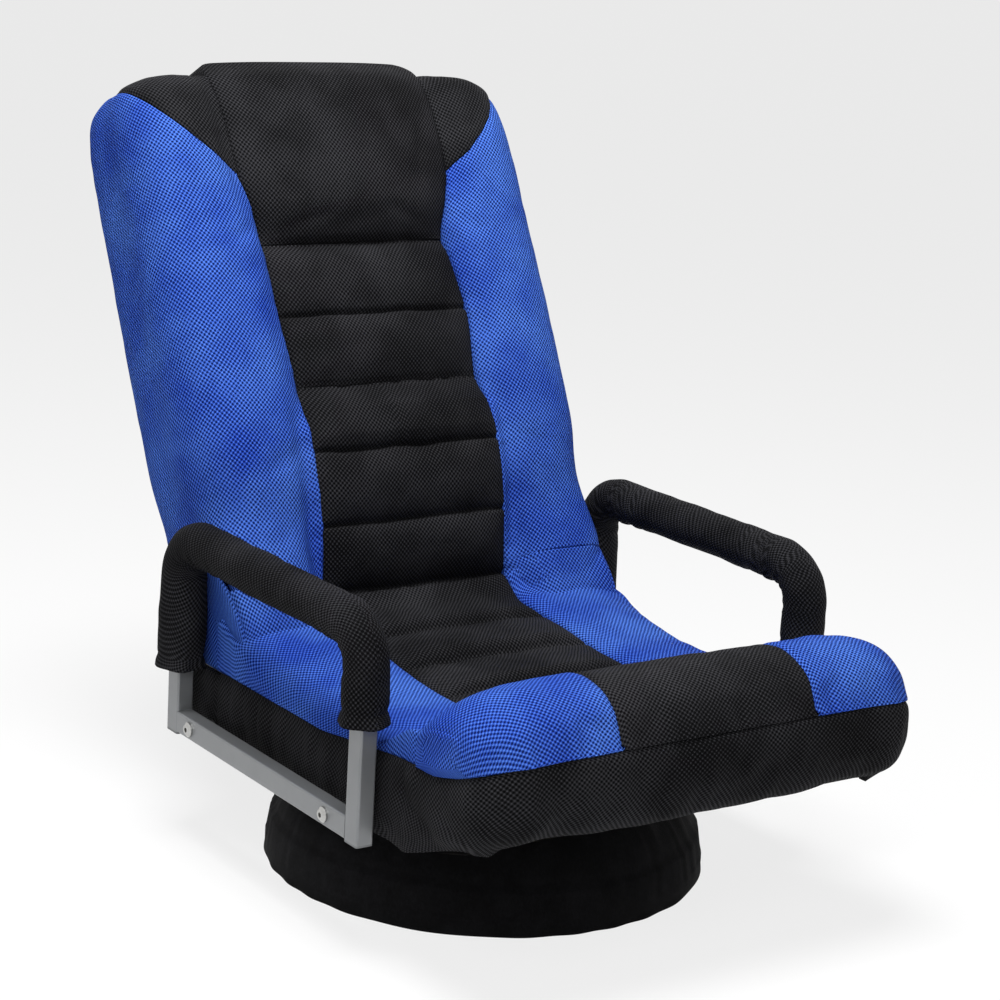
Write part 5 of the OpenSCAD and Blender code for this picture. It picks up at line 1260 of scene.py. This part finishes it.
class CHAIR_OT_sleeves(PieceOperator, bpy.types.Operator):
    """Padded mesh sleeves on the arms"""

    bl_idname = "chair.sleeves"
    bl_label = "Arm sleeves"

    def execute(self, context):
        for side, word in SIDES:
            piece = skin("Arm_sleeve_" + word, sleeve_rings(side, context.scene.chair_form), "black", "seat",
                         looped=True)
            soft(piece, "arm_sleeve_" + word)
        return {"FINISHED"}


class CHAIR_OT_base_cover(PieceOperator, bpy.types.Operator):
    """Elasticated non-woven cover over the swivel base"""

    bl_idname = "chair.base_cover"
    bl_label = "Base cover"

    def execute(self, context):
        cloth = skin("Base_cover", cover_rings(context.scene.chair_form), "cover", "base", ends=False)
        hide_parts("base_cover")
        return {"FINISHED"}


NODE_FINISHES = {
    "rubber": ["floor_pads"],
    "steel": ["base_ring", "base_legs", "hub_plate", "swivel_lower_plate", "swivel_upper_plate", "seat_frame",
              "arm_spacers", "hinge_seat_plates", "hinge_back_plate_left", "hinge_back_plate_right",
              "pawl_left", "pawl_right", "back_frame", "back_cross_bars", "swivel_balls"],
    "nickel": ["swivel_pin", "swivel_lower_bolts", "swivel_upper_bolts", "arm_nuts", "arm_bolts_left",
               "arm_bolts_right", "hinge_pins", "pawl_studs", "pawl_springs"],
    "silver": ["arm_frame_left", "arm_frame_right"],
    "cap": ["arm_end_caps"],
    "nylon": ["ball_cage"],
    "strap": ["seat_straps", "back_straps"],
}


class CHAIR_OT_hardware(PieceOperator, bpy.types.Operator):
    """Gives the steel, plated, painted, moulded and woven solids their finishes"""

    bl_idname = "chair.hardware"
    bl_label = "Hardware finishes"

    def execute(self, context):
        for name, nodes in NODE_FINISHES.items():
            for node in nodes:
                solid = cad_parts[node]
                solid.data.materials.clear()
                solid.data.materials.append(finish(name))
        return {"FINISHED"}


WHITE, PALE = (1, 1, 1, 1), (0.86, 0.86, 0.86, 1)
FLOOR_REACH, FLOOR_WHITE = 30.0, 0.8
# Each lamp's place, size and share of the key lamp's power, and the place that all aim at
LAMPS = {"Key lamp": ((-0.5, -0.3, 2.9), 1.2, 1.0), "Left lamp": ((-1.3, -1.3, 1.35), 0.8, 0.12),
         "Right lamp": ((1.9, -1.6, 2.0), 1.3, 0.05)}
LAMPS_AIM = (0, 0, 0.35)
# The camera's place, its angles in degrees and its sensor's width in millimetres
CAMERA_AT, SENSOR = (-1.6115, -2.2716, 1.0909), 36.0
CAMERA_AZIMUTH, CAMERA_DOWN, CAMERA_ROLL = -35.28, 13.62, 3.35


def link(name, data):
    made = bpy.data.objects.new(name, data)
    bpy.context.scene.collection.objects.link(made)
    return made


def pale_floor():
    ground = bpy.data.meshes.new("Floor")
    corners = ((-1, -1), (1, -1), (1, 1), (-1, 1))
    ground.from_pydata([(x * FLOOR_REACH, y * FLOOR_REACH, 0) for x, y in corners], [], [(0, 1, 2, 3)])
    f = material("Pale floor")
    shade = f.node("ShaderNodeBsdfDiffuse", links={"Color": PALE})
    glow = f.node("ShaderNodeEmission", links={"Color": WHITE, "Strength": 1.0})
    both = f.node("ShaderNodeMixShader", links={0: f.seen() * FLOOR_WHITE, 1: shade, 2: glow})
    f.node("ShaderNodeOutputMaterial", links={"Surface": both})
    ground.materials.append(f.holder)
    link("Floor", ground)


def white_room(strength):
    world = bpy.data.worlds.new("Studio")
    bpy.context.scene.world = world
    f = Finish(world)
    room, white = (f.node("ShaderNodeBackground", links={"Color": WHITE, "Strength": power})
                   for power in (strength, 1.0))
    both = f.node("ShaderNodeMixShader", links={0: f.seen(), 1: room, 2: white})
    f.node("ShaderNodeOutputWorld", links={"Surface": both})


def camera(lens):
    data = bpy.data.cameras.new("Camera")
    data.lens, data.sensor_width, data.clip_end = lens, SENSOR, 200
    viewer = link("Camera", data)
    azimuth, down, roll = (math.radians(v) for v in (CAMERA_AZIMUTH, CAMERA_DOWN, CAMERA_ROLL))
    back = Vector((math.sin(azimuth) * math.cos(down), -math.cos(azimuth) * math.cos(down), math.sin(down)))
    right = (-back).cross(Vector((0, 0, 1))).normalized()
    up = right.cross(-back)
    turn = Matrix((right * math.cos(roll) + up * math.sin(roll), up * math.cos(roll) - right * math.sin(roll),
                   back)).transposed()
    viewer.matrix_world = Matrix.Translation(CAMERA_AT) @ turn.to_4x4()
    bpy.context.scene.camera = viewer


class CHAIR_OT_stage(PieceOperator, bpy.types.Operator):
    """Pale floor, soft studio light and the camera"""

    bl_idname = "chair.stage"
    bl_label = "Stage"

    def execute(self, context):
        stage = context.scene.chair_stage
        context.scene.view_settings.view_transform = "Standard"
        pale_floor()
        white_room(stage.sky)
        for name, (at, size, share) in LAMPS.items():
            lamp = bpy.data.lights.new(name, "AREA")
            lamp.energy, lamp.size = stage.key_light * share, size
            holder = link(name, lamp)
            holder.location = at
            holder.rotation_euler = (Vector(LAMPS_AIM) - Vector(at)).to_track_quat("-Z", "Y").to_euler()
        camera(stage.lens)
        return {"FINISHED"}


OPERATORS = (CHAIR_OT_seat_core, CHAIR_OT_seat_pad, CHAIR_OT_seat_bolsters, CHAIR_OT_front_roll,
             CHAIR_OT_seat_band, CHAIR_OT_underside, CHAIR_OT_back_core, CHAIR_OT_back_pads,
             CHAIR_OT_back_sides, CHAIR_OT_sleeves, CHAIR_OT_base_cover, CHAIR_OT_hardware, CHAIR_OT_stage)
GROUPS = {"chair_form": ChairForm, "chair_finish": ChairFinish, "chair_stage": ChairStage}


class CHAIR_PT_panel(bpy.types.Panel):
    """Lists the chair's pieces and settings in the sidebar."""

    bl_idname = "CHAIR_PT_panel"
    bl_label = "Floor chair"
    bl_space_type = "VIEW_3D"
    bl_region_type = "UI"
    bl_category = "Floor Chair"

    def draw(self, context):
        for group in (getattr(context.scene, name) for name in GROUPS):
            column = self.layout.column()
            for key in group.bl_rna.properties.keys():
                if key not in {"rna_type", "name"}:
                    column.prop(group, key)
        for operator in OPERATORS:
            self.layout.operator(operator.bl_idname)


CLASSES = (*GROUPS.values(), *OPERATORS, CHAIR_PT_panel)


def register():
    for item in CLASSES:
        bpy.utils.register_class(item)
    for name, group in GROUPS.items():
        setattr(bpy.types.Scene, name, bpy.props.PointerProperty(type=group))


def unregister():
    for name in GROUPS:
        delattr(bpy.types.Scene, name)
    for item in reversed(CLASSES):
        bpy.utils.unregister_class(item)


def main():
    register()
    for operator in OPERATORS:
        group, name = operator.bl_idname.split(".")
        getattr(getattr(bpy.ops, group), name)()
    bpy.context.view_layer.update()


if __name__ == "__main__":
    main()
